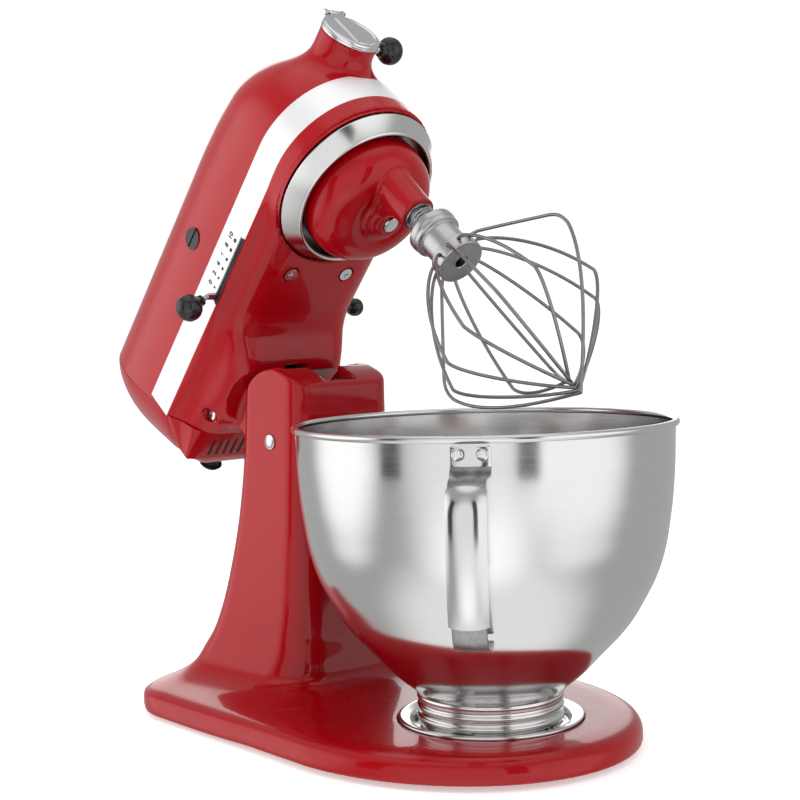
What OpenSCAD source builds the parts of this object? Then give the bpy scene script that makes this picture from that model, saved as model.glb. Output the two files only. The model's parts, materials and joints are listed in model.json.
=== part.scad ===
// Tilt-head stand mixer with its bowl and wire whip.
// Frame: origin on the table under the bowl's axis, +X towards the bowl side
// of the machine (front), +Z up, the speed lever on the -Y side.
// Every head piece is drawn with the head level, then tilted about the hinge pin.

/* [Head] */
// Backward tilt of the head about its hinge pin, degrees
head_tilt = 50.35; // [0:0.05:50.35]
// Half width of the head casting
head_w = 54; // [53.5:0.1:54.5]
// Height of the top of the head above the table, head level
head_top = 352; // [349:0.5:355]
// Wall thickness of the head castings
head_wall = 3.5; // [3:0.1:4]
// Width of the metal trim band
band_h = 21.9; // [20:0.1:23]

/* [Hinge] */
// Hinge pin distance behind the bowl axis
pin_back = 147.17; // [146.8:0.01:147.5]
// Hinge pin height above the table
pin_z = 171.44; // [171.2:0.01:171.7]
// Hinge pin radius
pin_r = 4.5; // [4:0.1:5]

/* [Base] */
// Half width of the base plate
base_w = 105.8; // [104:0.2:108]
// Length of the rounded front of the base, ahead of its widest line
base_front = 126.9; // [125:0.2:129]
// Thickness of the rubber feet
foot_h = 3; // [3:0.1:3.4]

/* [Bowl] */
// Outer radius of the rim bead
bowl_r = 109.5; // [108.5:0.1:110]
// Sheet thickness of the bowl
bowl_t = 1; // [0.8:0.1:1.2]
// Azimuth of the bowl's handle, degrees
handle_az = -49.4; // [-60:0.2:-40]

/* [Whip] */
// Wire radius
wire_r = 1; // [0.8:0.05:1.05]
// Number of round balloon loops
balloons = 5; // [3:1:5]
// Largest radius of the balloon loops
balloon_r = 50.5; // [47:0.5:51]
// Lowest wire centre above the table, head level
tip_z = 21.4; // [21.4:0.2:24]

/* [Drive] */
// Module of the centre gear and its pinion
gear_m = 1.3697; // [1.3695:0.0001:1.3699]
// Module of the internal ring gear and its planet pinion
ring_m = 1.068; // [1.067:0.0005:1.069]
// Azimuth of the beater shaft round the planetary axis, degrees
beater_az = -9.68; // [-20:0.02:0]
// Distance of the beater shaft from the planetary axis
beater_e = 21.36; // [21.35:0.005:21.37]

/* [Hidden] */

px = -pin_back;
pz = pin_z;
red = "#a3101c";
e_ax = [beater_e * cos(beater_az), beater_e * sin(beater_az)];
motor_z = 296.5;
hub_z = 298;
nose_x = 2;
brush_x = -84;
band_z = 262.1 - band_h / 2;
rack_x = -36;
rack_y = 25;
lead = 2 * PI * 18 / 24;

// ---------- helpers ----------
module head() translate([px, 0, pz]) rotate([0, -head_tilt, 0]) translate([-px, 0, -pz]) children();
module along_x(x) translate([x, 0, 0]) rotate([0, 90, 0]) children();
module along_y(y) translate([0, y, 0]) rotate([-90, 0, 0]) children();
module both() { children(); mirror([0, 1, 0]) children(); }
module tube(ro, ri, h) difference() { cylinder(r = ro, h = h, $fn = 64); translate([0, 0, -1]) cylinder(r = ri, h = h + 2, $fn = 64); }

// Skin over rings of points; rings run anticlockwise seen from the last ring
module skin(rings) {
  n = len(rings[0]);
  m = len(rings);
  polyhedron(points = [for (r = rings) each r],
    faces = concat([[for (i = [0:n - 1]) i]],
      [for (j = [0:m - 2], i = [0:n - 1]) let (a = j * n + i, b = j * n + (i + 1) % n) each [[a, a + n, b], [b, a + n, b + n]]],
      [[for (i = [n - 1:-1:0]) (m - 1) * n + i]]));
}
function bez(a, b, c, d, t) = pow(1 - t, 3) * a + 3 * pow(1 - t, 2) * t * b + 3 * (1 - t) * t * t * c + pow(t, 3) * d;
function unit(v) = v / norm(v);
// Round tube swept along a path of points that stays in one upright plane
module wire(path, r, nrm, sides = 8) {
  m = len(path);
  rings = [for (k = [0:m - 1])
    let (t = unit(path[min(k + 1, m - 1)] - path[max(k - 1, 0)]), s = cross(t, nrm))
    [for (i = [0:sides - 1]) path[k] + r * (cos(360 * i / sides) * nrm + sin(360 * i / sides) * s)]];
  skin(rings);
}
// Involute tooth outline; k scales the tooth's thickness
function inv(a) = tan(a) * 180 / PI - a;
function tooth_half(N, m, k, r) = let (rb = N * m / 2 * cos(20), a = acos(min(1, rb / max(r, rb)))) 90 / N * k + inv(20) - inv(a);
function gear_pts(N, m, k, add, ded) = let (r = N * m / 2, ri = r - ded, ro = r + add)
  [for (i = [0:N - 1], p = [[-1, ri], [-1, max(ri, r * cos(20))], [-1, r], [-1, ro], [1, ro], [1, r], [1, max(ri, r * cos(20))], [1, ri]])
    if (!((p[1] == ri) && ri >= r * cos(20) && false))
    let (h = tooth_half(N, m, k, p[1]), a = 360 * i / N + p[0] * h) p[1] * [cos(a), sin(a)]];
function dedup(l) = [for (i = [0:len(l) - 1]) if (norm(l[i] - l[(i + 1) % len(l)]) > 0.01) l[i]];
module gear(N, m, k, h, add = 1, ded = 1.25) linear_extrude(h) polygon(dedup(gear_pts(N, m, k, add * m, ded * m)));
module pan_screw(r, l, hr, hh) {
  translate([0, 0, -l]) cylinder(r = r, h = l + 0.01, $fn = 24);
  difference() {
    cylinder(r = hr, h = hh, $fn = 32);
    for (a = [0, 90]) rotate(a) translate([-hr * 0.55, -0.4, hh * 0.45]) cube([hr * 1.1, 0.8, hh]);
  }
}

// ---------- stand: base, pedestal, hinge ----------
function base_ring(z, i) = let (a = base_front - i, b = base_w - i, rr = 43 - i, cx = -234 + 43, cy = 100 - 43)
  [for (p = concat(
    [for (k = [0:18]) let (t = -90 + 10 * k) [-42.2 + a * cos(t), b * sin(t)]],
    [for (k = [0:6]) let (t = 90 + 15 * k) [cx + rr * cos(t), cy + rr * sin(t)]],
    [for (k = [0:6]) let (t = 180 + 15 * k) [cx + rr * cos(t), -cy + rr * sin(t)]])) [p[0], p[1], z]];
function plan(z, xr, xf, wr, wf, r, n = 6) = [for (p = concat(
    [for (i = [0:n]) let (a = -90 + 90 * i / n) [xf - r + r * cos(a), -(wf - r) + r * sin(a)]],
    [for (i = [0:n]) let (a = 90 * i / n) [xf - r + r * cos(a), (wf - r) + r * sin(a)]],
    [for (i = [0:n]) let (a = 90 + 90 * i / n) [xr + r + r * cos(a), (wr - r) + r * sin(a)]],
    [for (i = [0:n]) let (a = 180 + 90 * i / n) [xr + r + r * cos(a), -(wr - r) + r * sin(a)]])) [p[0], p[1], z]];
// Height, rear x, front x, rear half width, front half width, corner radius
ped = [[14, -231, -84, 96, 88, 40], [16, -229, -92, 90, 80, 38], [20, -227, -106, 78, 66, 34],
  [28, -220, -116, 64, 52, 26], [36, -216.5, -117.2, 58, 48.5, 23], [50, -209, -120, 52, 44, 20],
  [80, -199, -120.5, 46, 41.5, 17], [132, -187, -120.5, 41, 40.5, 14], [171, -181.8, -120, 39.5, 39.5, 13],
  [219, -178.8, -119.5, 38.5, 38.5, 12]];
module pedestal_skin() skin([for (s = ped) plan(s[0], s[1], s[2], s[3], s[4], s[5])]);
base_holes = [[-205, 45], [-205, -45], [-135, 40], [-135, -40]];

module base_casting() color(red) difference() {
  skin([for (s = [[3, 2], [4.5, 0], [11, 0], [14, 1.5], [16.2, 5], [17.4, 11], [18, 20]]) base_ring(s[0], s[1])]);
  pedestal_skin();
  // hollow underside, with a solid land under the pedestal's feet and round the clamp plate
  difference() {
    translate([0, 0, 0]) skin([base_ring(2, 9), base_ring(9.5, 9)]);
    translate([0, 0, -1]) cylinder(r = 30, h = 30, $fn = 64);
    for (p = base_holes) translate([p[0], p[1], -1]) cylinder(r = 9, h = 30, $fn = 48);
    for (p = feet_at) translate([p[0], p[1], -1]) cylinder(r = 12, h = 30, $fn = 48);
    translate([-225, -3, 3]) cube([300, 6, 20]);
    for (x = [-170, -90]) translate([x, -100, 4]) cube([5, 200, 20]);
  }
  // seat of the bowl clamp plate
  translate([0, 0, 12]) cylinder(r = 53.6, h = 10, $fn = 96);
  for (a = [45:90:315]) rotate(a) translate([20, 0, 3]) cylinder(r = 1.75, h = 20, $fn = 24);
  for (p = base_holes) translate([p[0], p[1], 0]) {
    cylinder(r = 3.1, h = 30, $fn = 32);
    cylinder(r = 6.1, h = 7, $fn = 48);
  }
  for (p = feet_at) translate([p[0], p[1], 0]) cylinder(r = 3.1, h = 8, $fn = 32);
}
feet_at = [[55, 0], [-10, 82], [-10, -82], [-205, 72], [-205, -72]];

module rubber_feet() color("#222222") for (p = feet_at) translate([p[0], p[1], 0]) {
  cylinder(r1 = 8.5, r2 = 9.5, h = foot_h, $fn = 48);
  translate([0, 0, foot_h - 0.1]) cylinder(r = 3, h = 4.6, $fn = 32);
}
module base_screws() color("#9a9a9a") for (p = base_holes) translate([p[0], p[1], 6.9]) {
  mirror([0, 0, 1]) pan_screw(3, 13, 5.5, 2.9);
}

// Top outline of the pedestal seen from the side
ped_top = [[-240, 0], [-60, 0], [-60, 40], [-110, 60], [-110, 200], [-119.5, 205.4], [-121, 207.2], [-127, 210.9], [-135, 214.6],
  [-141, 216.8], [-147, 217.4], [-150, 217]];
module pedestal() color(red) difference() {
  intersection() {
    pedestal_skin();
    union() {
      translate([0, 60, 0]) rotate([90, 0, 0]) linear_extrude(120) polygon(concat(ped_top, [[-150, 180], [-185, 180], [-240, 180]]));
      translate([-147.4, 0, 185.5]) along_y(-60) cylinder(r = 31.5, h = 120, $fn = 96);
      translate([-240, -110, 0]) cube([90, 220, 186]);
    }
  }
  // hollow inside the column
  skin([for (s = [[13, -221, -98, 84, 74, 34], [22, -218, -112, 62, 54, 26], [40, -209, -114, 50, 42, 18], [80, -194, -116, 41, 37, 13], [118, -187, -116, 37.5, 36, 11], [128, -180, -124, 28, 28, 9]]) plan(s[0], s[1], s[2], s[3], s[4], s[5], 4)]);
  // yoke between the cheeks, open to the rear and above
  translate([px, 0, pz]) along_y(-29.6) cylinder(r = 23, h = 59.2, $fn = 96);
  translate([0, 29.6, 0]) rotate([90, 0, 0]) linear_extrude(59.2)
    polygon([[-143, 240], [-143, 186], [-150, 152], [-172, 147], [-240, 134], [-240, 240]]);
  // slot for the head lock
  translate([-144, -12.5, 197]) cube([20, 25, 40]);
  // hinge pin and its set screw
  translate([px, 0, pz]) along_y(-60) cylinder(r = pin_r + 0.05, h = 120, $fn = 64);
  translate([px + 4.5, 34.5, pz]) along_x(0) cylinder(r = 2, h = 40, $fn = 32);
}

module hinge_pin() color("#d8d8d8") translate([px, 0, pz]) {
  along_y(-40.2) cylinder(r = pin_r, h = 80.4, $fn = 64);
  both() along_y(40.1) rotate_extrude($fn = 64) intersection() {
    translate([0, -9.5]) circle(r = 10.5, $fn = 96);
    square([pin_r, 4]);
  }
}
module pin_set_screw() color("#777777") translate([px + 4.6, 34.5, pz]) along_x(0) difference() {
  cylinder(r = 1.95, h = 8, $fn = 32);
  translate([0, 0, 6]) cylinder(r = 1.1, h = 3, $fn = 6);
}
module lock_keeper() color("#8b8b8b") difference() {
  translate([-142.9, -12.4, 205.6]) cube([18.8, 24.8, 2.6]);
  translate([-144, -9.5, 200]) cube([16.5, 19, 12]);
}

module bowl_clamp_plate() color("#c8c8c8") { clamp_dish(); for (a = [11:90:281]) rotate(a) rotate_extrude(angle = 18, $fn = 128) polygon([[41.3, 16.1], [45.9, 16.1], [46.4, 17.5], [41.3, 17.5]]); }
module clamp_dish() difference() {
  rotate_extrude($fn = 128) polygon([[9, 12], [45, 12], [47.5, 15.2], [53.4, 17.4], [53.4, 19.7], [51, 19.7],
    [46.2, 17.7], [44.6, 13.5], [9, 13.5]]);
  for (a = [45:90:315]) rotate(a) translate([20, 0, 5]) cylinder(r = 1.75, h = 20, $fn = 24);
}
module clamp_screws() color("#9a9a9a") for (a = [45:90:315]) rotate(a) translate([20, 0, 13.5]) pan_screw(1.7, 9, 3.2, 1.6);

// ---------- bowl ----------
function bowl_r_at(z) = lookup(z, [[45, 54.5], [55, 64], [67, 75.5], [85, 88], [106, 98], [131, 103.5], [153, 106], [176, 107], [186, bowl_r - 2]]);
bowl_out = [[0, 16.5], [12, 16.6], [24, 17], [33, 19.5], [37.3, 24], [38.6, 29], [41, 33.2], [45, 37], [54.5, 45], [64, 55], [75.5, 67], [82.6, 76], [88, 85],
  [93.9, 96], [98, 106], [101.3, 118], [103.5, 131], [105, 142], [106, 153], [106.7, 165], [107, 176], [107.4, 184.6]];
// The bowl's profile moved outwards by d, along its own normal
function bowl_off(d, n = len(bowl_out) - 1) = [for (i = [0:n]) let (t = unit(bowl_out[min(i + 1, n)] - bowl_out[max(i - 1, 0)]))
  bowl_out[i] + d * (i == 0 ? [0, -1] : [t[1], -t[0]])];
module bowl_shell() color("#d2d2d2") rotate_extrude($fn = 160) {
  difference() {
    polygon(concat(bowl_out, [[107.4, 190], [0, 190]]));
    polygon(concat(bowl_off(-bowl_t), [[106.4, 191], [0, 191]]));
    translate([0, 185.2]) square([130, 10]);
  }
  difference() {
    translate([bowl_r - 2, 185.9]) circle(r = 2, $fn = 32);
    translate([bowl_r - 2.1, 185.2]) circle(r = 0.8, $fn = 24);
  }
}
module bowl_foot() color("#c4c4c4") {
  rotate_extrude($fn = 128) difference() {
    union() {
      polygon([[38.9, 13.6], [40.5, 13.6], [40.5, 30.5], [42.2, 34], [44.2, 36.4], [44.2, 37.6], [41.6, 37.4], [39.6, 34], [38.9, 31]]);
      for (z = [19.8, 26, 31]) intersection() { translate([40.4, z]) circle(r = 1.6, $fn = 24); translate([40.3, 0]) square([10, 60]); }
    }
    polygon(concat(bowl_off(0.12), [[110, 200], [0, 200]]));
  }
  for (a = [20:90:290]) rotate(a) intersection() {
    translate([38.95, -7, 13.65]) cube([6, 14, 2.2]);
    difference() { cylinder(r = 43.9, h = 60, $fn = 96); cylinder(r = 39.3, h = 60, $fn = 96); }
  }
}
handle_path = [[107.6, 183.4], [107.6, 172], [112, 170.2], [124, 170.8], [134, 169.5], [141, 165], [144.4, 157], [145.4, 146],
  [145, 128], [143, 110], [139.6, 97], [134, 88.5], [124, 83], [108, 79.5], [92, 77.6], [87, 80]];
function strip(p, t) = concat(p, [for (i = [len(p) - 1:-1:0]) let (d = unit(p[min(i + 1, len(p) - 1)] - p[max(i - 1, 0)])) p[i] + t * [-d[1], d[0]]]);
module bowl_handle() color("#cfcfcf") rotate(handle_az) difference() {
  union() {
    translate([0, 9, 0]) rotate([90, 0, 0]) linear_extrude(18) polygon(strip(handle_path, 1.8));
    translate([107.6, -11.5, 171]) cube([1.8, 23, 12.6]);
    intersection() {
      translate([82, -14, 71]) cube([7, 28, 13]);
      difference() {
        rotate_extrude($fn = 128) polygon([[79.9, 71], [86.1, 81.5], [89, 86], [90, 84], [82, 70]]);
      }
    }
  }
  rotate_extrude($fn = 160) polygon(concat([for (p = bowl_out) p + [0.1, -0.06]], [[107.5, 190], [0, 190]]));
  for (y = [-8, 8]) translate([100, y, 178.5]) rotate([0, 90, 0]) cylinder(r = 1.7, h = 20, $fn = 24);
}
module bowl_rivets() color("#e0e0e0") rotate(handle_az) for (y = [-8, 8]) translate([0, y, 178.5]) {
  intersection() {
    rotate([0, 90, 0]) translate([0, 0, 107.7]) cylinder(r = 1.6, h = 3.2, $fn = 24);
    translate([0, -20, -20]) cube([200, 40, 40]);
  }
  translate([109.5, 0, 0]) rotate([0, 90, 0]) rotate_extrude($fn = 32) intersection() { translate([0, -2.6]) circle(r = 4.4, $fn = 48); square([3.5, 3]); }
}

// ---------- head castings ----------
function top_at(x) = lookup(x, [[-50, head_top], [-25, head_top - 1.5], [-5, head_top - 5], [18, head_top - 13], [35, head_top - 25],
  [45, head_top - 38], [52, head_top - 56], [56, head_top - 82]]);
function plan_w(x, w = head_w) = x <= nose_x ? w : sqrt(max(1, w * w - pow(x - nose_x, 2)));
function seam_x(z) = -196 - (z - 262) * 0.235;
function pw(v, n) = sign(v) * pow(abs(v), n);
// Crowned upper section: half width w, top zt, closed along the joint line zb
function arch(x, w, zt, zb, rear = false, dx = 0, n = 22) = [for (p = concat([[w, zb]],
    [for (i = [0:n]) let (a = 180 * i / n) [w * pw(cos(a), 2 / 2.67), 265 + (zt - 265) * pw(sin(a), 2 / 2.67)]], [[-w, zb]]))
  [rear ? seam_x(p[1]) + dx : x, p[0], p[1]]];
xs_out = [-150, -100, -50, -25, -5, 8, 18, 27, 35, 41, 46, 50, 53, 55];
module housing_skin() skin(concat([arch(0, head_w, head_top, 262.2, true)], [for (x = xs_out) arch(x, plan_w(x), top_at(x), 262.2)]));
module housing_core() let (t = head_wall) skin(concat([arch(0, head_w - t, head_top - t, 262, true, -6, 14)],
  [for (x = [-150, -50, -25, -5, 10, 22, 32, 40, 46]) arch(x, plan_w(x, head_w - t), top_at(x + 2.6) - t - 0.4, 262, false, 0, 14)]));
// Strip along the joint line that the trim band sits in
module band_seat(z, h, w) translate([0, 0, z]) linear_extrude(h) difference() {
  translate([-260, -90]) square([400, 180]);
  union() { translate([-260, -w]) square([260 + nose_x, 2 * w]); translate([nose_x, 0]) circle(r = w, $fn = 128); }
}
module upper_housing() color(red) difference() {
  union() {
    difference() {
      housing_skin();
      housing_core();
      band_seat(262, band_z + band_h - 262 + 0.15, head_w - 1.35);
    }
    // attachment hub neck with a flared root
    along_x(36) translate([-hub_z, 0, 0]) cylinder(r = 18.6, h = 33, $fn = 96);
    intersection() {
      along_x(40) translate([-hub_z, 0, 0]) rotate_extrude($fn = 96) polygon([[0, 0], [24, 0], [23.2, 4], [21.2, 9], [19.6, 13], [18.9, 16.5], [18.6, 20], [0, 20]]);
      translate([30, -40, 262.5]) cube([40, 80, 80]);
    }
    // boss of the attachment screw
    translate([62, 0, hub_z]) along_y(15) cylinder(r = 5.2, h = 6.5, $fn = 48);
    // inner bosses of the brush holders
    both() translate([brush_x, 0, motor_z]) along_y(42) cylinder(r = 10, h = 9.5, $fn = 48);
  }
  along_x(20) translate([-hub_z, 0, 0]) cylinder(r = 16.5, h = 60, $fn = 96);
  translate([62, 0, hub_z]) along_y(14) cylinder(r = 2.6, h = 20, $fn = 32);
  both() translate([brush_x, 0, motor_z]) along_y(38) cylinder(r = 7.2, h = 30, $fn = 64);
  both() translate([-140, 30, 258]) cylinder(r = 2, h = 12, $fn = 24);
}

// Half sections of the lower casting: y, z from the joint line down to the keel
low_pts = [
  [[54, 262], [54, 251], [52.3, 247.5], [49.5, 245], [48, 243.5], [45, 238.5], [38, 234.8], [20, 233.8]],
  [[54, 262], [54, 251], [52, 247], [49.3, 243.5], [47, 239], [43, 232.5], [37, 228], [20, 227.2]],
  [[54, 262], [54, 251], [51.5, 246], [48.5, 241], [45.5, 235], [40.5, 224.8], [34.5, 218.4], [20, 217.7]],
  [[54, 262], [54, 251], [51.5, 246], [48.5, 241], [46, 235], [42, 222], [34.5, 212.4], [20, 210.3]],
  [[54, 262], [54, 251], [52, 247], [49.5, 243], [47.5, 236], [45.5, 227], [39, 219], [20, 217.2]],
  [[54, 262], [54, 251], [52.3, 247.5], [50, 244], [48, 238], [46, 231], [41, 225.3], [20, 224.6]]];
low_x = [nose_x, -100, -112, -124, -150, -172, -190];
function low_sec(k, x, rear = false, s = 0, top = 261.9) = let (h = [for (p = low_pts[k]) [p[0] * head_w / 54 - s, min(top, p[1] + (p[1] > 250 ? 0 : s))]])
  [for (p = concat([for (i = [7:-1:0]) [-h[i][0], h[i][1]]], [for (q = h) q])) [rear ? seam_x(p[1]) : x, p[0], p[1]]];
module low_skin() skin([for (r = [low_sec(5, 0, true), low_sec(4, -172), low_sec(3, -150), low_sec(2, -124), low_sec(1, -112), low_sec(0, -100), low_sec(0, nose_x)]) [for (i = [15:-1:0]) r[i]]]);
module pin_zone(r, w = 80) translate([px, 0, pz]) along_y(-w) cylinder(r = r, h = 2 * w, $fn = 128);
low_nose = [[0, 233.8], [38, 234.8], [45, 238.5], [48, 243.5], [49.5, 245], [52.3, 247.5], [54, 251], [54, 261.9], [0, 261.9]];
module lower_gearcase() color(red) difference() {
  union() {
    difference() {
      union() {
        low_skin();
        translate([nose_x, 0, 0]) rotate(-90) rotate_extrude(angle = 180, $fn = 128) polygon(low_nose);
        translate([0, 0, 234.4]) cylinder(r = 51.5, h = 20, $fn = 128);
      }
      // motor space
      difference() {
        translate([-189, -47, 240]) cube([131, 94, 30]);
        both() translate([-190, 47.2, 239]) rotate([-38, 0, 0]) translate([0, -12, -12]) cube([140, 24, 14]);
      }
      translate([-216, -44, 252]) cube([30, 88, 20]);
      pin_zone(47.5);
      band_seat(band_z - 0.15, 20, head_w - 1.35);
      // seat of the drip ring
      rotate_extrude($fn = 128) polygon([[49.4, 220], [54.8, 220], [54.8, 237.4], [52.9, 241.6], [51.55, 241.6], [51.55, 235.7], [49.4, 235.7]]);
    }
    // hinge lug
    difference() {
      union() {
        translate([px, 0, pz]) along_y(-28.6) cylinder(r = 20, h = 57.2, $fn = 96);
        translate([-173, -28.6, pz + 11]) cube([27, 57.2, 58]);
      }
      translate([-190, -40, 241]) cube([80, 80, 40]);
    }
  }
  // gear space over the roof, ring gear recess below it
  translate([0, 0, 249]) cylinder(r = 46, h = 20, $fn = 128);
  translate([-60, -46, 249]) cube([60, 92, 20]);
  translate([0, 0, 230]) cylinder(r = 47.5, h = 15, $fn = 128);
  translate([0, 0, 240]) cylinder(r = 11.05, h = 20, $fn = 64);
  translate([rack_x, rack_y, 246.4]) cylinder(r = 5.05, h = 10, $fn = 48);
  translate([px, 0, pz]) along_y(-60) cylinder(r = pin_r + 0.08, h = 120, $fn = 64);
  // screw pockets
  for (y = [-22.5, 22.5]) translate([-65, y, 225]) { cylinder(r = 5.2, h = 11.3, $fn = 48); cylinder(r = 2.05, h = 40, $fn = 24); }
  both() translate([-140, 30, 200]) { cylinder(r = 2.05, h = 70, $fn = 24); }
  both() translate([-173, 0, 226.5]) along_y(39.4) cylinder(r = 4.6, h = 20, $fn = 48);
  both() translate([-173, 0, 226.5]) along_y(30) cylinder(r = 1.75, h = 20, $fn = 24);
  // slots of the speed lever and of the head lock
  translate([-101.5, -60, 252.3]) cube([50.5, 30, 3.4]);
  translate([-111.5, 30, 250.6]) cube([15, 30, 2.8]);
  // lock bolt way through the floor
  translate([-138.6, -9.3, 200]) cube([13.4, 18.6, 60]);
}

// Closed section of the rear cover at full size
function cover_sec() = concat([for (i = [0:20]) let (a = 180 * i / 20) [head_w * pw(cos(a), 2 / 2.67), 265 + (head_top - 265) * pw(sin(a), 2 / 2.67)]],
  [for (i = [1:7]) [-low_pts[5][i][0], low_pts[5][i][1]]], [for (i = [7:-1:1]) [low_pts[5][i][0], low_pts[5][i][1]]]);
function cover_ring(s, d = 0, g = 1) = [for (p = cover_sec()) let (y = p[0] * s * g,
    z = p[1] >= 290 ? 290 + (p[1] - 290) * s * g : 290 - (290 - p[1]) * (1 - pow(1 - s, 2.6)) * g)
  [seam_x(z) - 46 * pow(1 - s * s, 0.75) + d, y, z]];
module cover_skin() skin([for (s = [0.2, 0.45, 0.65, 0.8, 0.9, 0.96, 1]) cover_ring(s)]);
module cover_core() skin(concat([for (s = [0.2, 0.55, 0.78, 0.9, 0.97]) cover_ring(s, 3.2, 0.94)], [cover_ring(1, 5, 0.94)]));
// Boxed chin under the rear cover
module chin(xa, xb, h) translate([xb, 0, 0]) rotate([90, 0, -90]) linear_extrude(xb - xa) polygon(concat([for (p = h) p], [for (i = [len(h) - 1:-1:0]) [-h[i][0], h[i][1]]]));
module rear_end_cover() color(red) difference() {
  union() {
    cover_skin();
    chin(-212, -195.4, [[52.4, 255.2], [52.4, 250], [49.6, 244.2], [45.6, 231.2], [40.8, 225.7], [38, 225]]);
  }
  cover_core();
  chin(-208.9, -191.3, [[46.3, 250.6], [46.3, 245.6], [42, 232], [38.6, 228.4]]);
  // air slots in the bottom strip
  for (y = [-30:6:30]) translate([-209, y - 1.2, 215]) cube([14, 2.4, 20]);
  band_seat(band_z - 0.15, band_h + 0.3, head_w - 1.35);
  // cord inlet
  along_x(-260) translate([-250, 0, 0]) cylinder(r = 6.05, h = 60, $fn = 48);
}
module cord_grommet() color("#222222") difference() {
  along_x(-243) translate([-250, 0, 0]) { cylinder(r = 6, h = 17, $fn = 48); cylinder(r1 = 7, r2 = 8.6, h = 2.4, $fn = 48); }
  along_x(-260) translate([-250, 0, 0]) cylinder(r = 3.6, h = 60, $fn = 48);
}

module trim_band() color("#dcdcdc") difference() {
  translate([0, 0, band_z]) linear_extrude(band_h) difference() {
    union() { translate([-194.5, -(head_w + 0.1)]) square([194.5 + nose_x, 2 * head_w + 0.2]); translate([nose_x, 0]) circle(r = head_w + 0.1, $fn = 160); }
    union() { translate([-260, -(head_w - 1.3)]) square([260 + nose_x, 2 * head_w - 2.6]); translate([nose_x, 0]) circle(r = head_w - 1.3, $fn = 160); }
  }
  translate([-101, -60, 252.6]) cube([49.5, 20, 2.8]);
  translate([-111.5, 40, 250.6]) cube([15, 20, 2.8]);
}
// Six speed positions marked on the band by dots that grow with speed
module speed_scale() color("#222222") for (i = [0:5]) translate([-93.5 + 7.24 * i, -(head_w + 0.1), 258.7])
  rotate([90, 0, 0]) cylinder(r = 0.75 + 0.12 * i, h = 0.25, $fn = 24);

module gearcase_screws() color("#c8c8c8") {
  for (y = [-22.5, 22.5]) translate([-65, y, 236.3]) mirror([0, 0, 1]) pan_screw(2, 12, 4.4, 2.4);
}
module cover_screws() color("#c8c8c8") both() translate([-173, 39.5, 226.5]) rotate([-90, 0, 0]) pan_screw(1.7, 9, 3.4, 1.4);

// ---------- motor ----------
module m_axis(x) along_x(x) translate([-motor_z, 0, 0]) children();
module brush_caps() color("#1c1c1c") both() translate([brush_x, 0, motor_z]) along_y(50.6) difference() {
  cylinder(r = 7.1, h = 3.3, $fn = 48);
  translate([-8, -0.7, 2]) cube([16, 1.4, 3]);
}
module brush_holders() color("#b5883a") both() translate([brush_x, 0, motor_z]) along_y(16) difference() {
  translate([-4.6, -4.6, 0]) cube([9.2, 9.2, 34.4]);
  translate([-3.3, -3.3, -1]) cube([6.6, 6.6, 40]);
}
module carbon_brushes() color("#333333") both() translate([brush_x, 0, motor_z]) along_y(12.3) translate([-3.2, -3.2, 0]) cube([6.4, 6.4, 16]);
module stator_core() color("#8d8f94") m_axis(-162) difference() {
  cylinder(r = 43, h = 56, $fn = 96);
  translate([0, 0, -1]) cylinder(r = 27.3, h = 60, $fn = 96);
  for (s = [0, 180]) rotate(s) difference() {
    translate([0, 0, -1]) cylinder(r = 36.5, h = 60, $fn = 96);
    translate([-50, -60, -2]) cube([100, 78, 62]);
    translate([0, 0, -2]) cylinder(r = 29.5, h = 62, $fn = 96);
  }
}
module field_coils() color("#b4612d") m_axis(-160) for (s = [0, 180]) rotate(s) difference() {
  intersection() { cylinder(r = 36.2, h = 52, $fn = 96); translate([-50, 18.5, -1]) cube([100, 60, 60]); }
  translate([0, 0, -1]) cylinder(r = 29.8, h = 62, $fn = 96);
}
module bearing_plates() color("#a9abad") {
  m_axis(-71) difference() { cylinder(r = 45, h = 4, $fn = 96); translate([0, 0, -1]) cylinder(r = 9.05, h = 8, $fn = 48);
    for (a = [45:90:315]) rotate(a) translate([28, 0, -1]) cylinder(r = 7, h = 8, $fn = 48); }
  m_axis(-176) difference() { cylinder(r = 45, h = 4, $fn = 96); translate([0, 0, -1]) cylinder(r = 9.05, h = 8, $fn = 48);
    for (a = [45:90:315]) rotate(a) translate([28, 0, -1]) cylinder(r = 9, h = 8, $fn = 48); }
}
module motor_bearings() color("#dddddd") { m_axis(-72) tube(9, 4.04, 6); m_axis(-177) tube(9, 4.04, 6); }
module control_plate() color("#5d7f4a") translate([-168.6, -36, 252]) difference() {
  cube([2, 72, 22]);
  for (y = [8, 64]) translate([-1, y, 11]) rotate([0, 90, 0]) cylinder(r = 1.6, h = 4, $fn = 24);
}
module armature_core() color("#777a80") {
  m_axis(-194) cylinder(r = 4, h = 144.5, $fn = 48);
  m_axis(-162) difference() {
    cylinder(r = 26.5, h = 56, $fn = 96);
    for (a = [0:30:330]) rotate(a) translate([21, -1.6, -1]) cube([10, 3.2, 60]);
    translate([0, 0, -1]) cylinder(r = 3.9, h = 60, $fn = 48);
  }
}
module commutator() color("#c07a3a") m_axis(-92) difference() {
  cylinder(r = 12, h = 16, $fn = 96);
  translate([0, 0, -1]) cylinder(r = 4.02, h = 20, $fn = 48);
  for (a = [0:15:345]) rotate(a) translate([11, -0.25, -1]) cube([3, 0.5, 20]);
}
module cooling_fan() color("#d9d5c8") m_axis(-190.5) {
  tube(8, 4.02, 10);
  difference() { cylinder(r = 38, h = 1.6, $fn = 96); translate([0, 0, -1]) cylinder(r = 7.9, h = 5, $fn = 48); }
  for (a = [0:40:320]) rotate(a) translate([7.8, -0.8, 1.5]) rotate([0, 0, 12]) cube([29, 1.6, 8]);
}
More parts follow.
